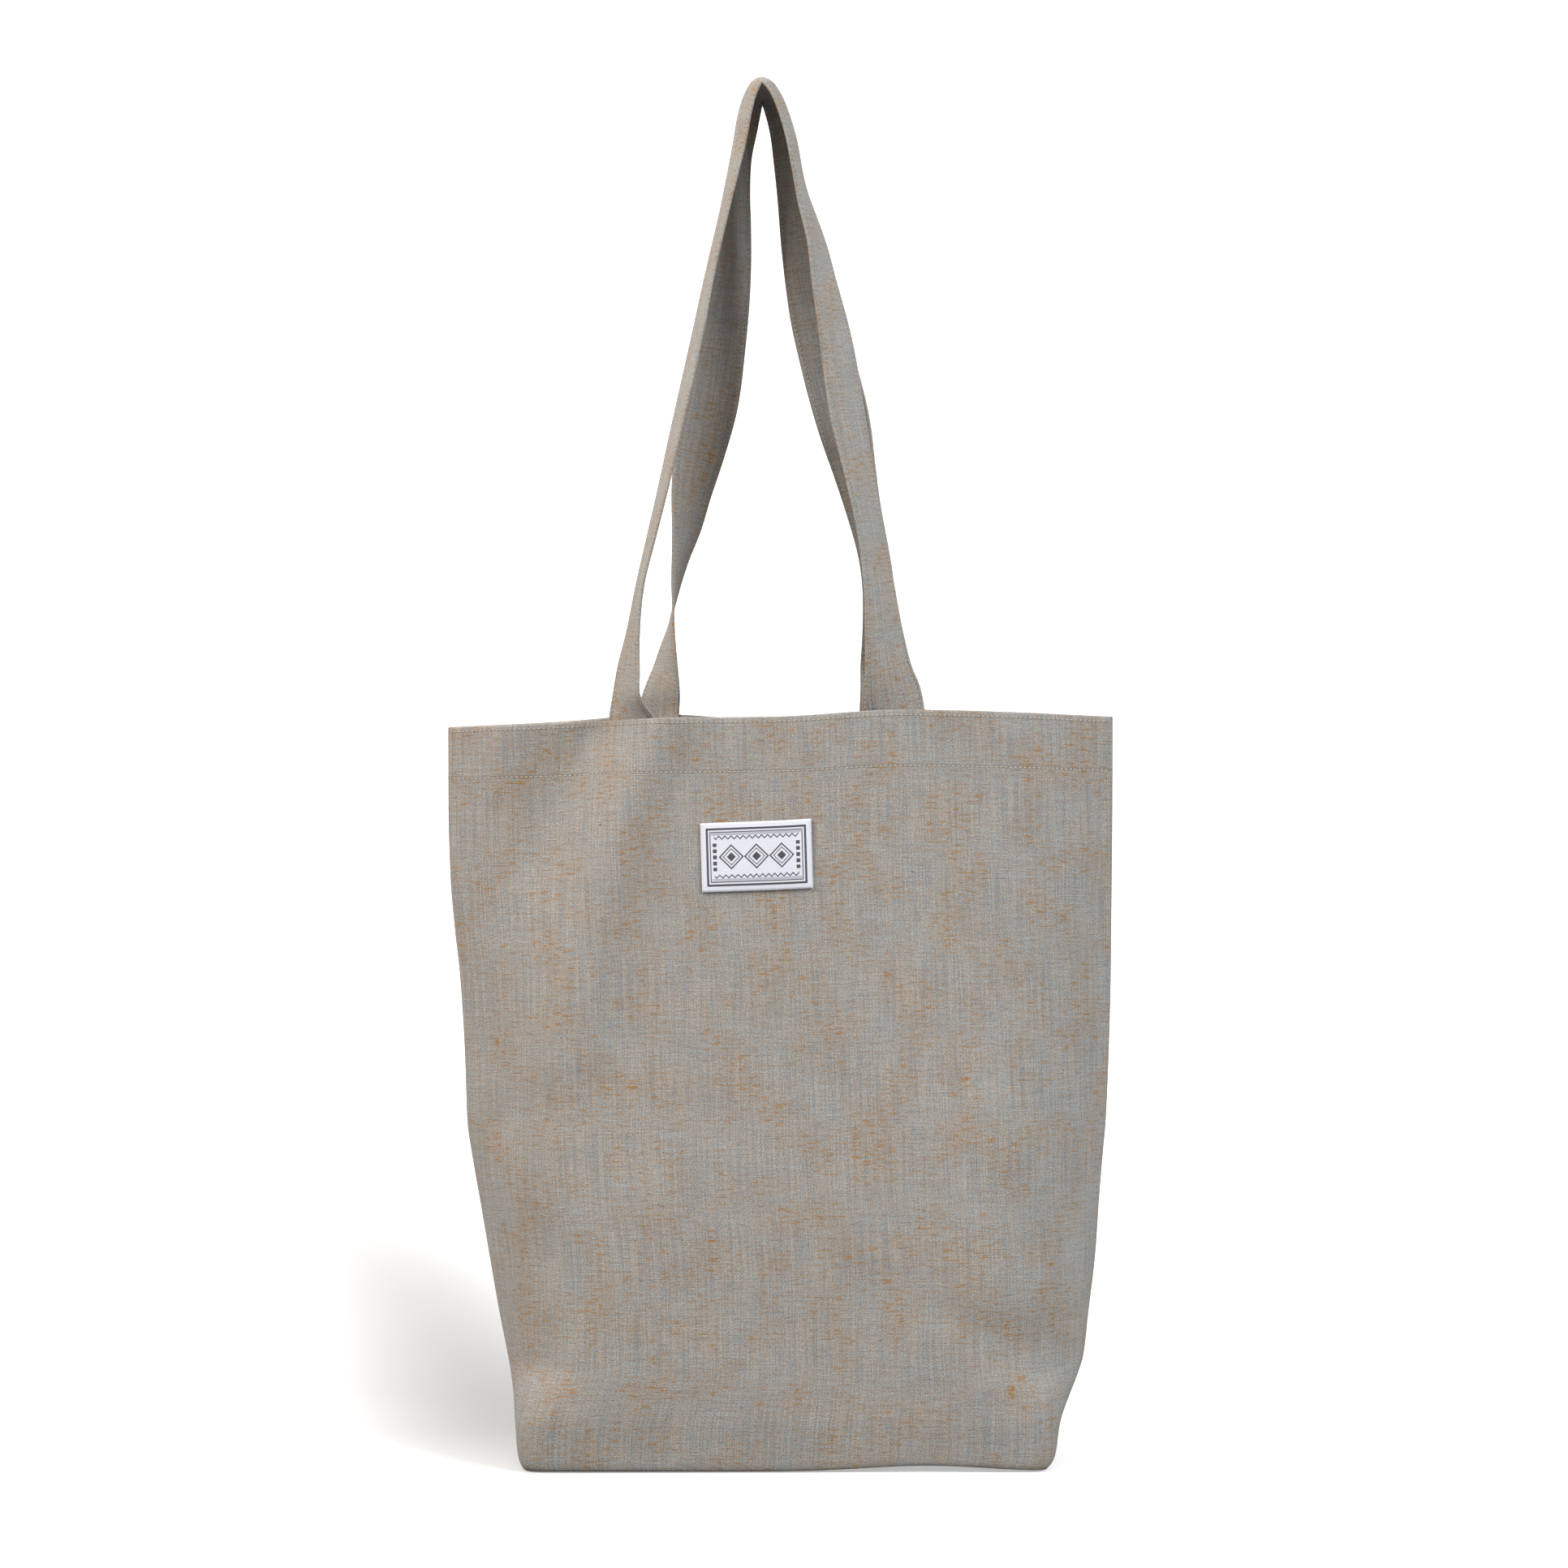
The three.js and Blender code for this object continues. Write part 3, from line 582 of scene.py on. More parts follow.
def makeBag():
    rows, uvRows = [], []
    shares = np.linspace(0, 1, skinSteps["across"] + 1)
    width, height = bagCut["width"], bagCut["height"]

    def addRow(points, along):
        front = np.stack([shares * width, np.full_like(shares, along)], axis=1)
        behind = np.full_like(shares, -bagCut["gusset"] - along)
        back = np.stack([shares[::-1] * width, behind], axis=1)
        rows.append(points)
        uvRows.append(np.concatenate([front, back]))

    radius = bagPiece["rimRadius"]
    for drop in np.linspace(bagCut["hem"], radius, bagPiece["hemSteps"], endpoint=False):
        addRow(ringAt(1 - drop / height, 2 * radius), 2 * height - drop + bagPiece["hemCloth"])
    for angle in np.linspace(0, math.pi, bagPiece["rimSteps"] + 2):
        points = ringAt(1 - radius / height, radius * (1 + math.cos(angle)))
        points[:, 2] += radius * math.sin(angle)
        addRow(points, height + radius * (math.pi - angle))
    wall = np.linspace(1 - radius / height, bagPiece["footHeight"], bagPiece["wallSteps"])[1:]
    foot = np.linspace(bagPiece["footHeight"], 0, bagPiece["footSteps"] + 1)[1:]
    for share in np.concatenate([wall, foot]):
        addRow(ringAt(share, 0), share * height)
    edge = rows[-1]
    for t in np.linspace(0, 1, bagPiece["baseSteps"] + 1)[1:]:
        points = edge.copy()
        points[:, 0] *= 1 - (1 - bagPiece["baseLine"]) * t
        points[:, 1] *= 1 - t
        points[:, 2] *= (1 - t) ** 2
        rows.append(points)
        uvRows.append(np.stack([points[:, 0] + width / 2, -(points[:, 1] + halfGusset)], axis=1))
    points, uv = placed(np.array(rows)), np.array(uvRows)
    ring = np.concatenate([points, points[:, :1]], axis=1)
    uv = np.concatenate([uv, uv[:, -1:]], axis=1)
    bag = gridMesh("bagCloth", ring, uv, closed=True)
    solid = bag.modifiers.new("clothThickness", "SOLIDIFY")
    solid.thickness = bagCut["cloth"]
    solid.offset = -1
    return bag


bag = makeBag()
giveMaterial(bag, bagChambray)
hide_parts("body", "rim_hem")
# both panels, their hems and the base in one length, less the four corners cut out of it
print("bag: cloth made")


# The handles

frontHandle = [
    # rise, across, depth, turn, fold
    (0.037, -0.998, -0.39, 61, 0), (0.076, -0.985, -0.4, 66, 0), (0.135, -0.95, -0.41, 76, 0),
    (0.207, -0.899, -0.42, 81, 0), (0.28, -0.816, -0.41, 80, 0), (0.348, -0.737, -0.4, 79, 0),
    (0.444, -0.634, -0.38, 78, 0), (0.6, -0.466, -0.36, 78, 0), (0.692, -0.377, -0.34, 80, 0),
    (0.78, -0.299, -0.335, 80, 6), (0.845, -0.241, -0.325, 79, 11), (0.893, -0.198, -0.315, 79, 15),
    (0.933, -0.165, -0.305, 81, 18), (0.966, -0.116, -0.3, 84, 19), (0.986, -0.058, -0.297, 88, 20),
    (0.992, 0, -0.295, 90, 20), (0.986, 0.07, -0.297, 90, 20), (0.966, 0.14, -0.3, 91, 19),
    (0.933, 0.204, -0.305, 92, 18), (0.893, 0.259, -0.315, 95, 15), (0.845, 0.3, -0.325, 98, 11),
    (0.797, 0.351, -0.335, 104, 8), (0.731, 0.417, -0.34, 109, 0), (0.675, 0.468, -0.35, 115, 0),
    (0.589, 0.55, -0.37, 123, 0), (0.456, 0.648, -0.4, 127, 0), (0.362, 0.738, -0.42, 121, 0),
    (0.293, 0.802, -0.43, 118, 0), (0.204, 0.87, -0.44, 121, 0), (0.112, 0.918, -0.44, 132, 0),
    (0.058, 0.95, -0.43, 145, 0), (0.025, 0.98, -0.42, 163, 0),
]
backHandle = [
    (0.04, -0.749, 0.5, 53, 0), (0.076, -0.728, 0.51, 65, 0), (0.103, -0.712, 0.51, 73, 0),
    (0.137, -0.688, 0.51, 83, 0), (0.178, -0.664, 0.51, 90, 0), (0.207, -0.648, 0.5, 96, 0),
    (0.247, -0.616, 0.5, 104, 0), (0.294, -0.571, 0.49, 117, 0), (0.35, -0.533, 0.48, 131, 0),
    (0.411, -0.475, 0.46, 147, 0), (0.486, -0.39, 0.45, 157, 0), (0.591, -0.316, 0.42, 153, 0),
    (0.665, -0.268, 0.4, 144, 0), (0.716, -0.232, 0.38, 131, 2), (0.78, -0.215, 0.36, 121, 6),
    (0.829, -0.205, 0.342, 112, 10), (0.89, -0.18, 0.32, 105, 14), (0.933, -0.14, 0.306, 104, 16),
    (0.967, -0.1, 0.3, 101, 17), (0.986, -0.05, 0.298, 95, 18), (0.991, 0.012, 0.297, 88, 18),
    (0.986, 0.07, 0.298, 82, 18), (0.967, 0.125, 0.3, 77, 17), (0.933, 0.178, 0.306, 73, 16),
    (0.885, 0.222, 0.32, 67, 14), (0.829, 0.255, 0.342, 61, 9), (0.747, 0.305, 0.37, 49, 3),
    (0.683, 0.354, 0.4, 40, 0), (0.64, 0.401, 0.42, 31, 0), (0.563, 0.496, 0.46, 22, 0),
    (0.456, 0.63, 0.52, 26, 0), (0.387, 0.706, 0.55, 44, 0), (0.338, 0.76, 0.58, 53, 0),
    (0.234, 0.87, 0.62, 60, 0), (0.119, 0.915, 0.67, 50, 0), (0.08, 0.937, 0.68, 35, 0),
    (0.043, 0.97, 0.69, 12, 0),
]


def handleRows(panel, stations, crossed):
    # the middle surface of a strap: rows of points across it, from the left foot over the top
    across = np.linspace(-1, 1, strap["columns"])
    hangZ = bagCut["height"] + strap["rise"]
    ends = []
    for side, middle in zip((-1, 1), strap["feet"][panel]):
        turn = -1 if side == 1 and not crossed else 1
        share = middle + turn * across * strap["width"] / 2 / bagCut["width"]
        end = []
        for drop in (bagCut["hem"], bagCut["hem"] / 2, 0):
            height = np.full_like(share, 1 - drop / bagCut["height"])
            end.append(onCloth(panel, height, share, np.full_like(share, -strap["footInset"]))[0])
        ends.append(end)
    half = len(stations) // 2
    rim = [ends[0][2][len(across) // 2], ends[1][2][len(across) // 2]]
    middles = [rim[0]]
    for i, (rise, x, depth, _, _) in enumerate(stations):
        rimZ = rim[0 if i < half else 1][2]
        middles.append(np.array([bagCut["hangAcross"] + x * strap["spacing"] / 2, depth * halfGusset,
                                 rimZ + (hangZ - rimZ) * rise]))
    middles.append(rim[1])
    rows = list(ends[0])
    for i, (_, _, _, turn, fold) in enumerate(stations):
        along = unit(middles[i + 2] - middles[i])
        angle, bend = math.radians(turn), math.radians(fold)
        width = np.array([math.cos(angle), -math.sin(angle), 0])
        width = unit(width - along * along.dot(width))
        inward = np.cross(along, width)
        lift = np.sqrt(across ** 2 + 0.01) - 0.1
        rows.append(middles[i + 1] + np.outer(across, width) * strap["width"] / 2 * math.cos(bend)
                    + np.outer(lift, inward) * strap["width"] / 2 * math.sin(bend))
    rows += ends[1][::-1]
    return np.array(rows)


def denseRows(rows, step):
    # a smooth run through the rows, evenly spaced along the strap
    middle = rows[:, rows.shape[1] // 2]
    along = lengthAlong(middle)
    count = int(round(along[-1] / step))
    at = np.linspace(0, along[-1], count + 1)
    slopes = np.gradient(rows, along, axis=0)
    i = np.clip(np.searchsorted(along, at, side="right") - 1, 0, len(along) - 2)
    gap = (along[i + 1] - along[i])[:, None, None]
    t = ((at - along[i])[:, None, None]) / gap
    dense = ((1 + 2 * t) * (1 - t) ** 2 * rows[i] + t * (1 - t) ** 2 * gap * slopes[i]
             + t * t * (3 - 2 * t) * rows[i + 1] + t * t * (t - 1) * gap * slopes[i + 1])
    return dense, at


def acrossStrap(dense, places):
    # points and normals at places across the strap, from -1 to 1
    lastColumn = dense.shape[1] - 1
    x = (np.asarray(places) + 1) / 2 * lastColumn
    j = np.clip(x.astype(int), 0, lastColumn - 1)
    t = (x - j)[None, :, None]
    normals = unit(np.cross(np.gradient(dense, axis=1), np.gradient(dense, axis=0)))
    points = dense[:, j] * (1 - t) + dense[:, j + 1] * t
    return points, unit(normals[:, j] * (1 - t) + normals[:, j + 1] * t)


faceColumns = [-0.97, -0.94, -0.91, -0.88, -0.85, -0.82, -0.76, -0.6, -0.3, 0,
               0.3, 0.6, 0.76, 0.82, 0.85, 0.88, 0.91, 0.94, 0.97]


def makeStrap(name, panel, stations, crossed):
    dense, at = denseRows(handleRows(panel, stations, crossed), strap["step"])
    half = strap["thickness"] / 2
    face = np.array(faceColumns)
    rounding = np.sin(np.linspace(0, math.pi, 5)[1:-1])
    around = np.concatenate([face, [1, 1, 1], face[::-1], [-1, -1, -1]])
    pinch = 1 - strap["pinch"] * bump(np.abs(face) - sewnAt, strap["pinchSpan"])
    turned = np.cos(np.linspace(0, math.pi, 5)[1:-1])
    raised = np.concatenate([pinch, turned, -pinch[::-1], -turned])
    outwards = np.concatenate([face * 0, rounding, face * 0, -rounding])
    edgeRound = strap["edgeRound"]
    points, normals = acrossStrap(dense, np.clip(around, -edgeRound, edgeRound))
    sideways = unit(np.gradient(dense, axis=1))[:, [0, -1]]
    edge = np.where((around > 0)[None, :, None], sideways[:, 1:], sideways[:, :1])
    shell = points + normals * (raised * half)[None, :, None]
    shell += edge * (outwards * half)[None, :, None]
    # the cloth runs on from one face over the edge to the other
    uv = np.zeros(shell.shape[:2] + (2,))
    flip = np.concatenate([face, [1, 1.02, 1.04], -face[::-1], [1.36, 1.38, 1.4]])
    flip = flip * strap["width"] / 2
    flip[len(face) + 3:2 * len(face) + 3] += strapFaceStep
    uv[..., 0] = flip[None, :]
    uv[..., 1] = at[:, None] + strap["clothStart"][panel]
    shell = np.concatenate([shell, shell[:, :1]], axis=1)
    uv = np.concatenate([uv, uv[:, -1:]], axis=1)
    piece = gridMesh(name, placed(shell), uv, closed=True)
    closeEnds(piece)
    giveMaterial(piece, handleChambray)
    return piece, dense


def closeEnds(piece):
    bm = bmesh.new()
    bm.from_mesh(piece.data)
    bmesh.ops.holes_fill(bm, edges=[e for e in bm.edges if e.is_boundary], sides=0)
    bmesh.ops.recalc_face_normals(bm, faces=bm.faces)
    bm.to_mesh(piece.data)
    bm.free()


frontStrap, frontDense = makeStrap("frontStrap", "front", frontHandle, False)
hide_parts("front_handle")
backStrap, backDense = makeStrap("backStrap", "back", backHandle, True)
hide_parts("back_handle")
print("handles: two straps")


# Stitches

# drawn as coarse as the weave, so that they show
stitch = {"pitch": 0.0025, "length": 0.0017, "width": 0.00062, "height": 0.0004}
stitchProud = 0.00004        # how far the middle of a stitch stands off the cloth
stitchTilt = 0.12            # at most, in radians
batchSize = 24


def sewLine(sewn, points, normals, settings=stitch):
    # lays short stitches end to end along a line of points, a batch at a time to stay quick
    along = lengthAlong(points)
    count = int(along[-1] / settings["pitch"])
    bm = bmesh.new()
    for k in range(count):
        if k % batchSize == batchSize - 1:
            addBatch(sewn, bm)
            bm = bmesh.new()
        middle = (k + 0.5) * settings["pitch"]
        i = int(np.clip(np.searchsorted(along, middle) - 1, 0, len(along) - 2))
        t = (middle - along[i]) / max(along[i + 1] - along[i], 1e-9)
        point = Vector(points[i] * (1 - t) + points[i + 1] * t)
        run = Vector(points[i + 1] - points[i]).normalized()
        up = Vector(normals[i]).normalized()
        side = up.cross(run).normalized()
        up = run.cross(side)
        wobble = noise.noise(Vector((middle * 900, point.z * 40, 0.3)))
        turn = Matrix((run, side, up)).transposed().to_4x4()
        halves = [settings[key] / 2 for key in ("length", "width", "height")]
        size = Matrix.Diagonal(halves + [1])
        tilt = Euler((0, 0, stitchTilt * wobble)).to_matrix().to_4x4()
        bmesh.ops.create_uvsphere(bm, u_segments=6, v_segments=4, radius=1,
                                  matrix=Matrix.Translation(point) @ turn @ tilt @ size)
    addBatch(sewn, bm)


def addBatch(sewn, bm):
    batch = bpy.data.meshes.new("batch")
    bm.to_mesh(batch)
    bm.free()
    sewn.from_mesh(batch)
    bpy.data.meshes.remove(batch)


def finishStitches(bm, name):
    for face in bm.faces:
        face.smooth = True
    mesh = bpy.data.meshes.new(name)
    bm.to_mesh(mesh)
    bm.free()
    giveMaterial(addObject(name, mesh), seamThread)


def rowOnBag(panel, drop, out):
    shares = np.linspace(0.006, 0.994, 240)
    height = np.full_like(shares, 1 - drop / bagCut["height"])
    points, normals = onCloth(panel, height, shares, np.full_like(shares, out))
    return placed(points), normals


sewn = bmesh.new()
for panelName in ("front", "back"):
    for drop in stitchDrops:
        sewLine(sewn, *rowOnBag(panelName, drop, stitchProud))
        points, normals = rowOnBag(panelName, drop, -2 * bagPiece["rimRadius"] - stitchProud)
        inside = slice(6, -6)        # short of the side seams
        sewLine(sewn, points[inside], -normals[inside])
finishStitches(sewn, "rimStitches")

for strapName, dense in (("frontStrapStitches", frontDense), ("backStrapStitches", backDense)):
    sewn = bmesh.new()
    points, normals = acrossStrap(dense, np.array([-sewnAt, sewnAt]))
    proud = strap["thickness"] / 2 * (1 - strap["pinch"]) + stitchProud
    for j in (0, 1):
        for side in (-1, 1):
            sewLine(sewn, placed(points[:, j] + side * proud * normals[:, j]), side * normals[:, j])
    finishStitches(sewn, strapName)
print("stitches: rim, hem and straps")


# The label

labelPiece = {
    "width": 0.0582,
    "height": 0.036,
    "thickness": 0.0005,
    "drop": 0.055,
    "across": -0.0112,
    "tilt": 1.7,
    "stand": 0.0001,         # its back from the cloth
    "steps": (44, 28),
    "edgeDrop": (0.00022, 0.0012),      # how much lower the edge lies, and over what width
    "seamDrop": (0.0002, 0.0006),       # the same along the stitches
    "stitchInset": 0.0016,
}


def labelPoints(acrossShares, downShares, out):
    # a grid on the label: shares of its width and height from the upper left corner
    tilt = math.tan(math.radians(labelPiece["tilt"]))
    rows = []
    for down in downShares:
        x = (np.asarray(acrossShares) - 0.5) * labelPiece["width"]
        drop = labelPiece["drop"] + down * labelPiece["height"] - x * tilt
        share = 0.5 + (labelPiece["across"] + x) / bagCut["width"]
        rows.append(onCloth("front", 1 - drop / bagCut["height"], share, np.full_like(x, out)))
    return placed(np.array([r[0] for r in rows])), np.array([r[1] for r in rows])


labelArt = {
    "ink": "#231E20",
    "darkness": 0.93,
    "ground": ("#D8DAE6", "#E8E9F3"),
    "softEdge": 0.00006,
    "frames": ((0.0034, 0.0011), (0.005, 0.0005)),        # inset and weight of each line
    "zigzag": {"size": 0.0016, "away": 0.0101, "reach": 0.0222, "weight": 0.0008},
    "cell": 0.0132,                                       # one of the three diamonds
    "rings": ((0.0061, 0.001), (0.0042, 0.0006)),         # size and weight of each
    "core": 0.0024,
    "squares": {"away": 0.0218, "half": 0.001, "step": 0.0016, "reach": 0.0072},
    "band": {"away": 0.0121, "half": 0.0009, "inset": 0.0055, "darkness": 0.4},
    "satin": 0.0007,
}


def wovenLabel():
    # White damask label: fine satin weave with woven grey-black lines and small figures.
    art = labelArt
    material, add = newMaterial("wovenDamaskLabel")
    place = add("UVMap", uv_map="cloth")
    parts = add("SeparateXYZ", place)
    u, v = parts.outputs["X"], parts.outputs["Y"]
    halfW, halfH = labelPiece["width"] / 2, labelPiece["height"] / 2

    def distance(value, middle):
        return add("Math", add("Math", value, middle, operation="SUBTRACT"), operation="ABSOLUTE")

    awayU, awayV = distance(u, halfW), distance(v, halfH)
    # how far a place is from the middle of each figure's lines, how far the ink reaches there,
    # the distance that ends the figure and where it ends, and how dark it is
    figures = []
    for inset, weight in art["frames"]:
        reachU = add("Math", awayU, halfW - inset, operation="SUBTRACT")
        reachV = add("Math", awayV, halfH - inset, operation="SUBTRACT")
        outer = add("Math", reachU, reachV, operation="MAXIMUM")
        figures.append((distance(outer, 0.0), weight / 2, None, 0, 1.0))
    zigzag = art["zigzag"]
    turn = add("Math", u, 1.0, operation="ADD")
    turn = add("Math", turn, zigzag["size"], operation="PINGPONG")
    turn = add("Math", turn, zigzag["size"] / 2, operation="SUBTRACT")
    for side in (1, -1):
        line = add("Math", v, halfH + side * zigzag["away"], operation="SUBTRACT")
        figures.append((distance(line, turn), zigzag["weight"] / 2, awayU, zigzag["reach"], 1.0))
    # three nested diamonds, and a column of small squares on either side of them
    cell, squares = art["cell"], art["squares"]
    cellU = add("Math", u, halfW, operation="SUBTRACT")
    cellU = add("Math", cellU, cell / 2, -cell / 2, operation="WRAP")
    diamond = add("Math", distance(cellU, 0.0), awayV, operation="ADD")
    for size, weight in art["rings"]:
        figures.append((distance(diamond, size), weight / 2, awayU, cell * 1.5, 1.0))
    figures.append((diamond, art["core"], awayU, cell * 1.5, 1.0))
    stepV = add("Math", v, halfH, operation="SUBTRACT")
    stepV = add("Math", stepV, squares["step"], -squares["step"], operation="WRAP")
    square = add("Math", distance(stepV, 0.0), distance(awayU, squares["away"]), operation="MAXIMUM")
    figures.append((square, squares["half"], awayV, squares["reach"], 1.0))
    # a paler band runs along the frame at the top and at the bottom
    band = art["band"]
    figures.append((distance(awayV, band["away"]), band["half"], awayU, halfW - band["inset"],
                    band["darkness"]))
    ink = 0.0
    soft = art["softEdge"]
    for away, reach, ending, end, darkness in figures:
        mark = add("MapRange", {"Value": away, "From Min": reach + soft, "From Max": reach - soft})
        if ending is not None:
            kept = add("MapRange", {"Value": ending, "From Min": end + soft, "From Max": end - soft})
            mark = add("Math", mark, kept, operation="MULTIPLY")
        mark = add("Math", mark, darkness, operation="MULTIPLY")
        ink = add("Math", ink, mark, operation="MAXIMUM")

    bandsPerUnit = 20 / (2 * math.pi)      # of the wave texture at a scale of 1
    satin = add("TexWave", {"Vector": place, "Scale": 1 / art["satin"] / bandsPerUnit,
                            "Distortion": 0.4, "Detail": 1.0}, bands_direction="Y")
    cloudy = add("TexNoise", {"Vector": place, "Scale": 900.0, "Detail": 3.0})
    ground = add("Mix", cloudy, *[toLinear(shade) for shade in art["ground"]], data_type="RGBA")
    cover = add("Math", ink, art["darkness"], operation="MULTIPLY")
    colour = add("Mix", cover, ground, toLinear(art["ink"]), data_type="RGBA")
    relief = 0.0
    for part, share in ((satin.outputs["Fac"], 0.5), (ink, 0.6)):
        part = add("Math", part, share, operation="MULTIPLY")
        relief = add("Math", relief, part, operation="ADD")
    woven = add("Bump", {"Strength": 0.35, "Distance": 0.0002, "Height": relief})
    shader = add("BsdfPrincipled", {"Base Color": colour, "Normal": woven, "Roughness": 0.6,
                                    "Sheen Weight": 0.15})
    add("OutputMaterial", {"Surface": shader})
    return material


across, down = [np.linspace(0, 1, steps + 1) for steps in labelPiece["steps"]]
faceOut = labelPiece["stand"] + labelPiece["thickness"]
points, normals = labelPoints(across, down, faceOut)
edgeU = np.minimum(across, 1 - across) * labelPiece["width"]
edgeV = np.minimum(down, 1 - down) * labelPiece["height"]
nearEdge = np.minimum(edgeU[None, :], edgeV[:, None])
edgeDepth, edgeWidth = labelPiece["edgeDrop"]
seamDepth, seamWidth = labelPiece["seamDrop"]
raised = edgeDepth * (1 - bump(nearEdge, edgeWidth))
raised -= seamDepth * bump(nearEdge - labelPiece["stitchInset"], seamWidth)
points += normals * raised[..., None]
uvAcross, uvUp = across * labelPiece["width"], (1 - down) * labelPiece["height"]
uv = np.stack(np.meshgrid(uvAcross, uvUp), axis=-1)
label = gridMesh("wovenLabel", points, uv)
solid = label.modifiers.new("labelThickness", "SOLIDIFY")
solid.thickness = labelPiece["thickness"]
solid.offset = -1
giveMaterial(label, wovenLabel())
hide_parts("label")

sewn = bmesh.new()
labelStitch = {"pitch": 0.0021, "length": 0.0017, "width": 0.00032, "height": 0.00026}
stitchOut = faceOut + 0.00002
left, top = [labelPiece["stitchInset"] / labelPiece[side] for side in ("width", "height")]
right, bottom = 1 - left, 1 - top
for (u0, v0), (u1, v1) in (((left, top), (right, top)), ((left, bottom), (right, bottom)),
                           ((left, top), (left, bottom)), ((right, top), (right, bottom))):
    line, lineNormals = [], []
    for t in np.linspace(0, 1, 24):
        point, normal = labelPoints([u0 + (u1 - u0) * t], [v0 + (v1 - v0) * t], stitchOut)
        line.append(point[0, 0])
        lineNormals.append(normal[0, 0])
    sewLine(sewn, np.array(line), np.array(lineNormals), labelStitch)
mesh = bpy.data.meshes.new("labelStitches")
sewn.to_mesh(mesh)
sewn.free()
giveMaterial(addObject("labelStitches", mesh), sewingThread("whiteThread", "#DADAD8"))
print("label: woven label with its stitches")


# Studio

studio = {
    "cameraDistance": 2.0,
    "viewWidth": 0.8114,      # what the picture takes in at the hanging point
    "lookX": 0.0118,
    "lookZ": -0.3654,
    "sensor": 36.0,
    "ambient": 0.22,
    "backdrop": 1.06,
    "floorWhite": (0.3, 0.86),         # what lights the bag, and what the camera sees
    "floorGlow": 0.46,                 # keeps the sweep white under the softer light
    "floorHalfWidth": 6.0,
    "floorFront": -4.0,
    "sweepStart": 1.6,
    "sweepRadius": 0.9,
    "sweepTop": 4.0,
    "shadowAt": (-0.13, 0.12),         # a painted soft shadow runs back and to the left from here
    "shadowReach": (0.19, 2.1),
    "shadowFront": -5.0,               # how much sooner it ends in front of the bag
    "shadowTurn": 0.2,
    "shadowDepth": 0.6,
    # place, what it is aimed at, size, power and colour
    "lights": {
        "keyBox": ((1.9, -1.5, 0.9), (0.0, 0.0, -0.45), 1.0, 55.0, (0.925, 0.97, 1.0)),
        "fillBox": ((-2.0, -1.0, 1.5), (0.0, 0.0, -0.4), 1.0, 86.0, (1.0, 0.945, 0.885)),
        "topBox": ((0.1, 0.1, 1.5), (0.0, 0.0, -0.4), 1.6, 10.0, (1.0, 1.0, 1.0)),
        "backBox": ((-0.6, 2.1, 0.9), (0.0, 0.0, -0.4), 1.4, 24.0, (1.0, 1.0, 1.0)),
    },
}


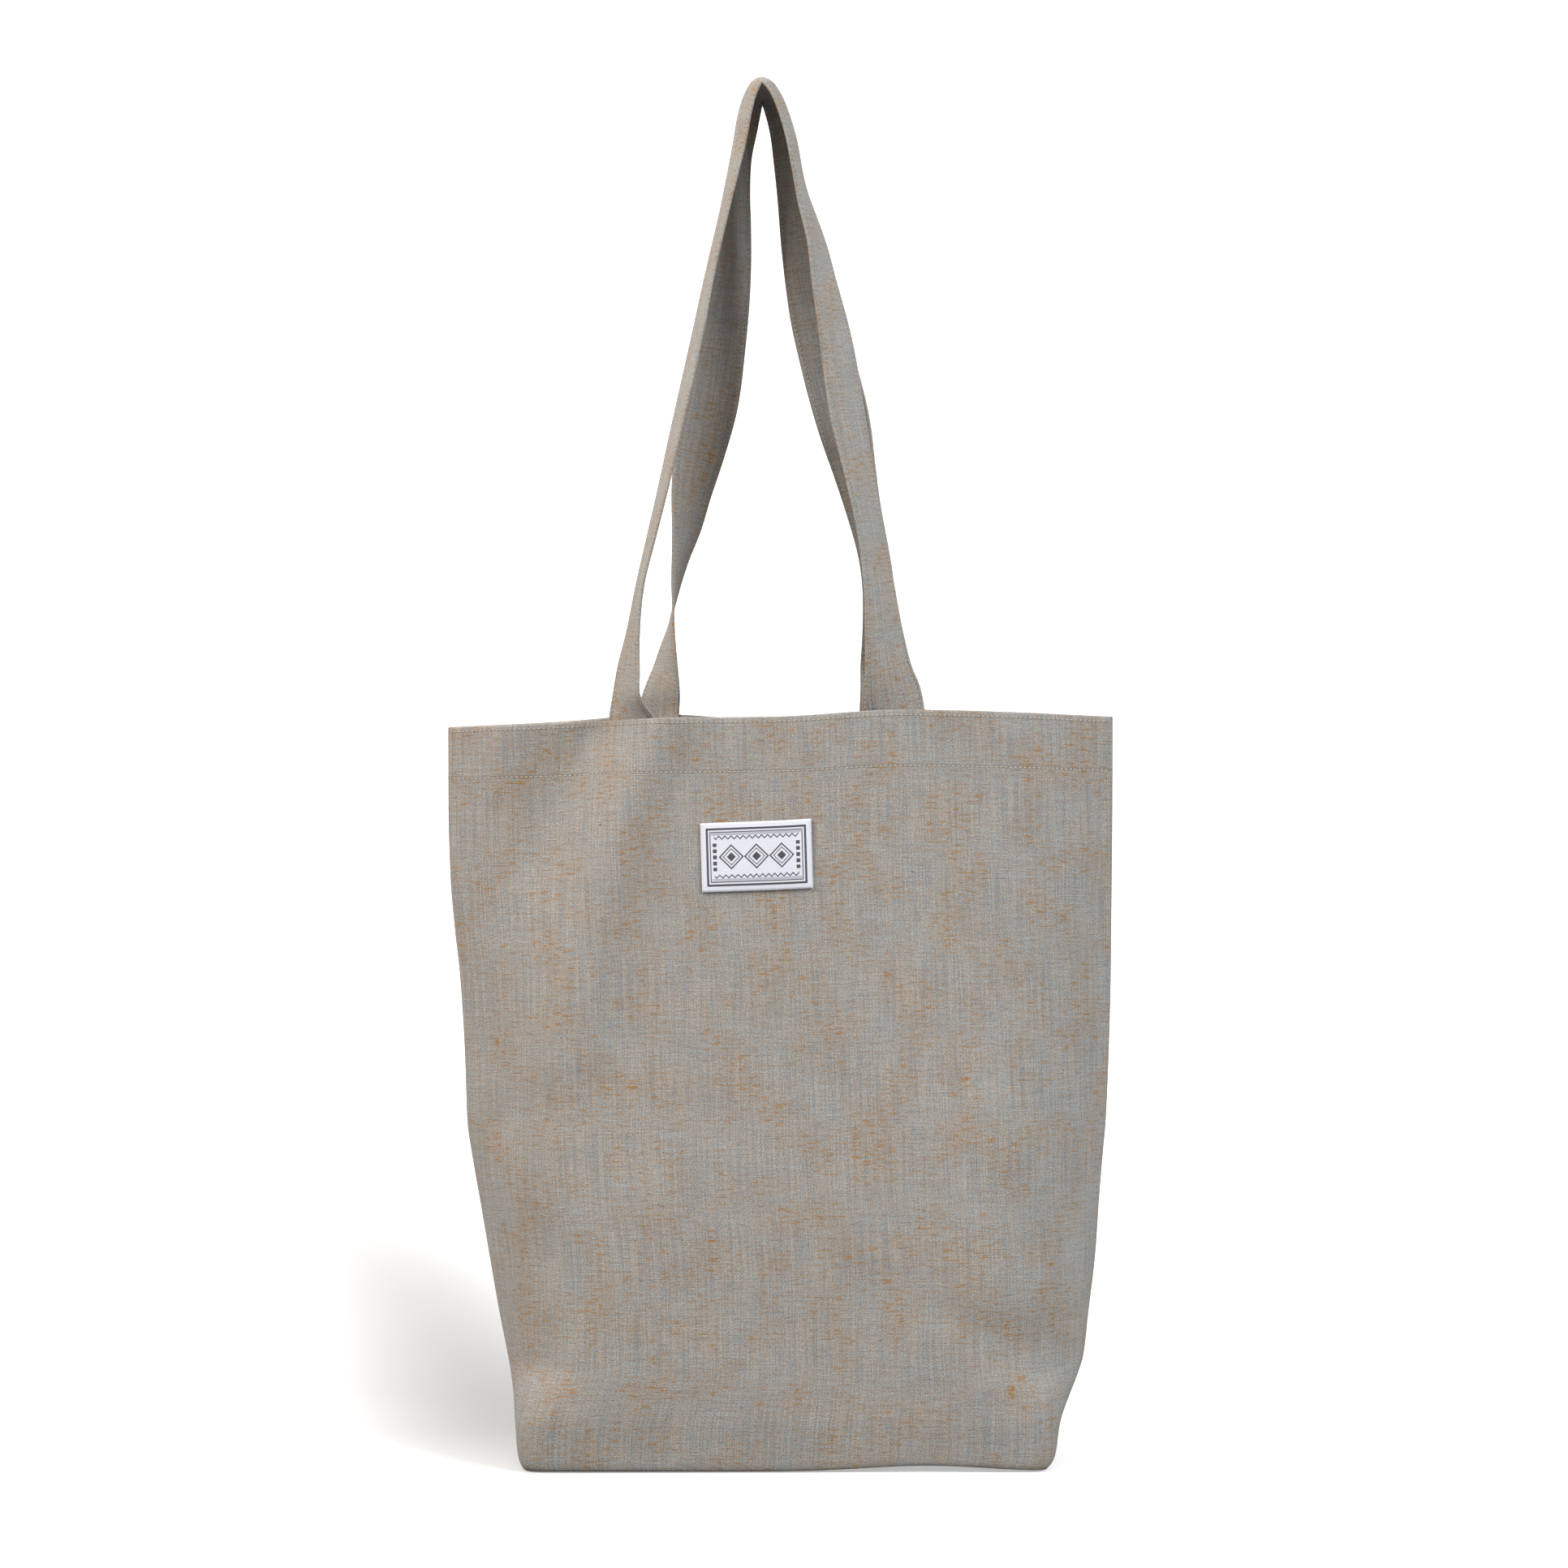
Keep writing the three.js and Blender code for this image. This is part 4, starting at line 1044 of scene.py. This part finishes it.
def makeStudio():
    world = bpy.data.worlds.new("studioWhite")
    world.use_nodes = True
    worldTree = world.node_tree
    # the backdrop is seen as white, yet lights the bag only softly
    seen = addNode(worldTree, "LightPath").outputs["Is Camera Ray"]
    strength = addNode(worldTree, "MapRange", {"Value": seen, "To Min": studio["ambient"],
                                               "To Max": studio["backdrop"]})
    background = worldTree.nodes["Background"]
    background.inputs["Color"].default_value = (1.0, 1.0, 1.0, 1.0)
    worldTree.links.new(strength.outputs["Result"], background.inputs["Strength"])
    bpy.context.scene.world = world

    start, radius = studio["sweepStart"], studio["sweepRadius"]
    profile = [(studio["floorFront"], 0.0), (start, 0.0)]
    for angle in np.linspace(0, math.pi / 2, 12)[1:]:
        profile.append((start + radius * math.sin(angle), radius * (1 - math.cos(angle))))
    profile.append((start + radius, studio["sweepTop"]))
    floorZ = baseZ - 0.0006
    sides = (-studio["floorHalfWidth"], 0, studio["floorHalfWidth"])
    floor = gridMesh("studioSweep", np.array([[(x, y, z + floorZ) for x in sides] for y, z in profile]))
    material, add = newMaterial("paleMatteSweep")
    # seen white, but it throws little light back under the bag
    seen = add("LightPath").outputs["Is Camera Ray"]
    white = add("MapRange", {"Value": seen, "To Min": studio["floorWhite"][0],
                             "To Max": studio["floorWhite"][1]})
    glow = add("MapRange", {"Value": seen, "To Min": 0.0, "To Max": studio["floorGlow"]})
    # painted shadow: a soft patch behind and to the left of the bag darkens the sweep's colour and glow
    place = add("TexCoord").outputs["Object"]
    patch = add("Mapping", {"Vector": place, "Location": studio["shadowAt"] + (0,),
                            "Rotation": (0, 0, studio["shadowTurn"]),
                            "Scale": studio["shadowReach"] + (1,)}, vector_type="TEXTURE")
    parts = add("SeparateXYZ", patch)
    beyond = add("Math", parts.outputs["Y"], studio["shadowFront"], operation="MULTIPLY")
    beyond = add("Math", parts.outputs["Y"], beyond, operation="MAXIMUM")
    squares = [add("Math", part, 2.0, operation="POWER") for part in (parts.outputs["X"], beyond)]
    away = add("Math", add("Math", *squares, operation="ADD"), operation="SQRT")
    paintedShadow = add("MapRange", {"Value": away, "To Min": 1 - studio["shadowDepth"], "To Max": 1.0},
              interpolation_type="SMOOTHSTEP")
    shader = add("BsdfPrincipled", {
        "Base Color": add("Math", white, paintedShadow, operation="MULTIPLY"),
        "Emission Strength": add("Math", glow, paintedShadow, operation="MULTIPLY"),
        "Emission Color": (1.0, 1.0, 1.0, 1.0), "Roughness": 0.9})
    add("OutputMaterial", {"Surface": shader})
    floor.data.materials.append(material)

    for name, (spot, aim, size, power, colour) in studio["lights"].items():
        light = bpy.data.lights.new(name, "AREA")
        light.shape = "SQUARE"
        light.size = size
        light.energy = power
        light.color = colour
        lamp = bpy.data.objects.new(name, light)
        lamp.location = spot
        lamp.rotation_euler = (Vector(aim) - Vector(spot)).to_track_quat("-Z", "Y").to_euler()
        bpy.context.scene.collection.objects.link(lamp)

    camera = bpy.data.cameras.new("camera")
    camera.sensor_width = studio["sensor"]
    camera.lens = studio["sensor"] * studio["cameraDistance"] / studio["viewWidth"]
    view = bpy.data.objects.new("camera", camera)
    view.location = (studio["lookX"], -studio["cameraDistance"], studio["lookZ"])
    view.rotation_euler = (math.pi / 2, 0, 0)
    bpy.context.scene.collection.objects.link(view)
    bpy.context.scene.camera = view
    bpy.context.scene.view_settings.view_transform = "Standard"


makeStudio()
print("studio: sweep, lights and camera")
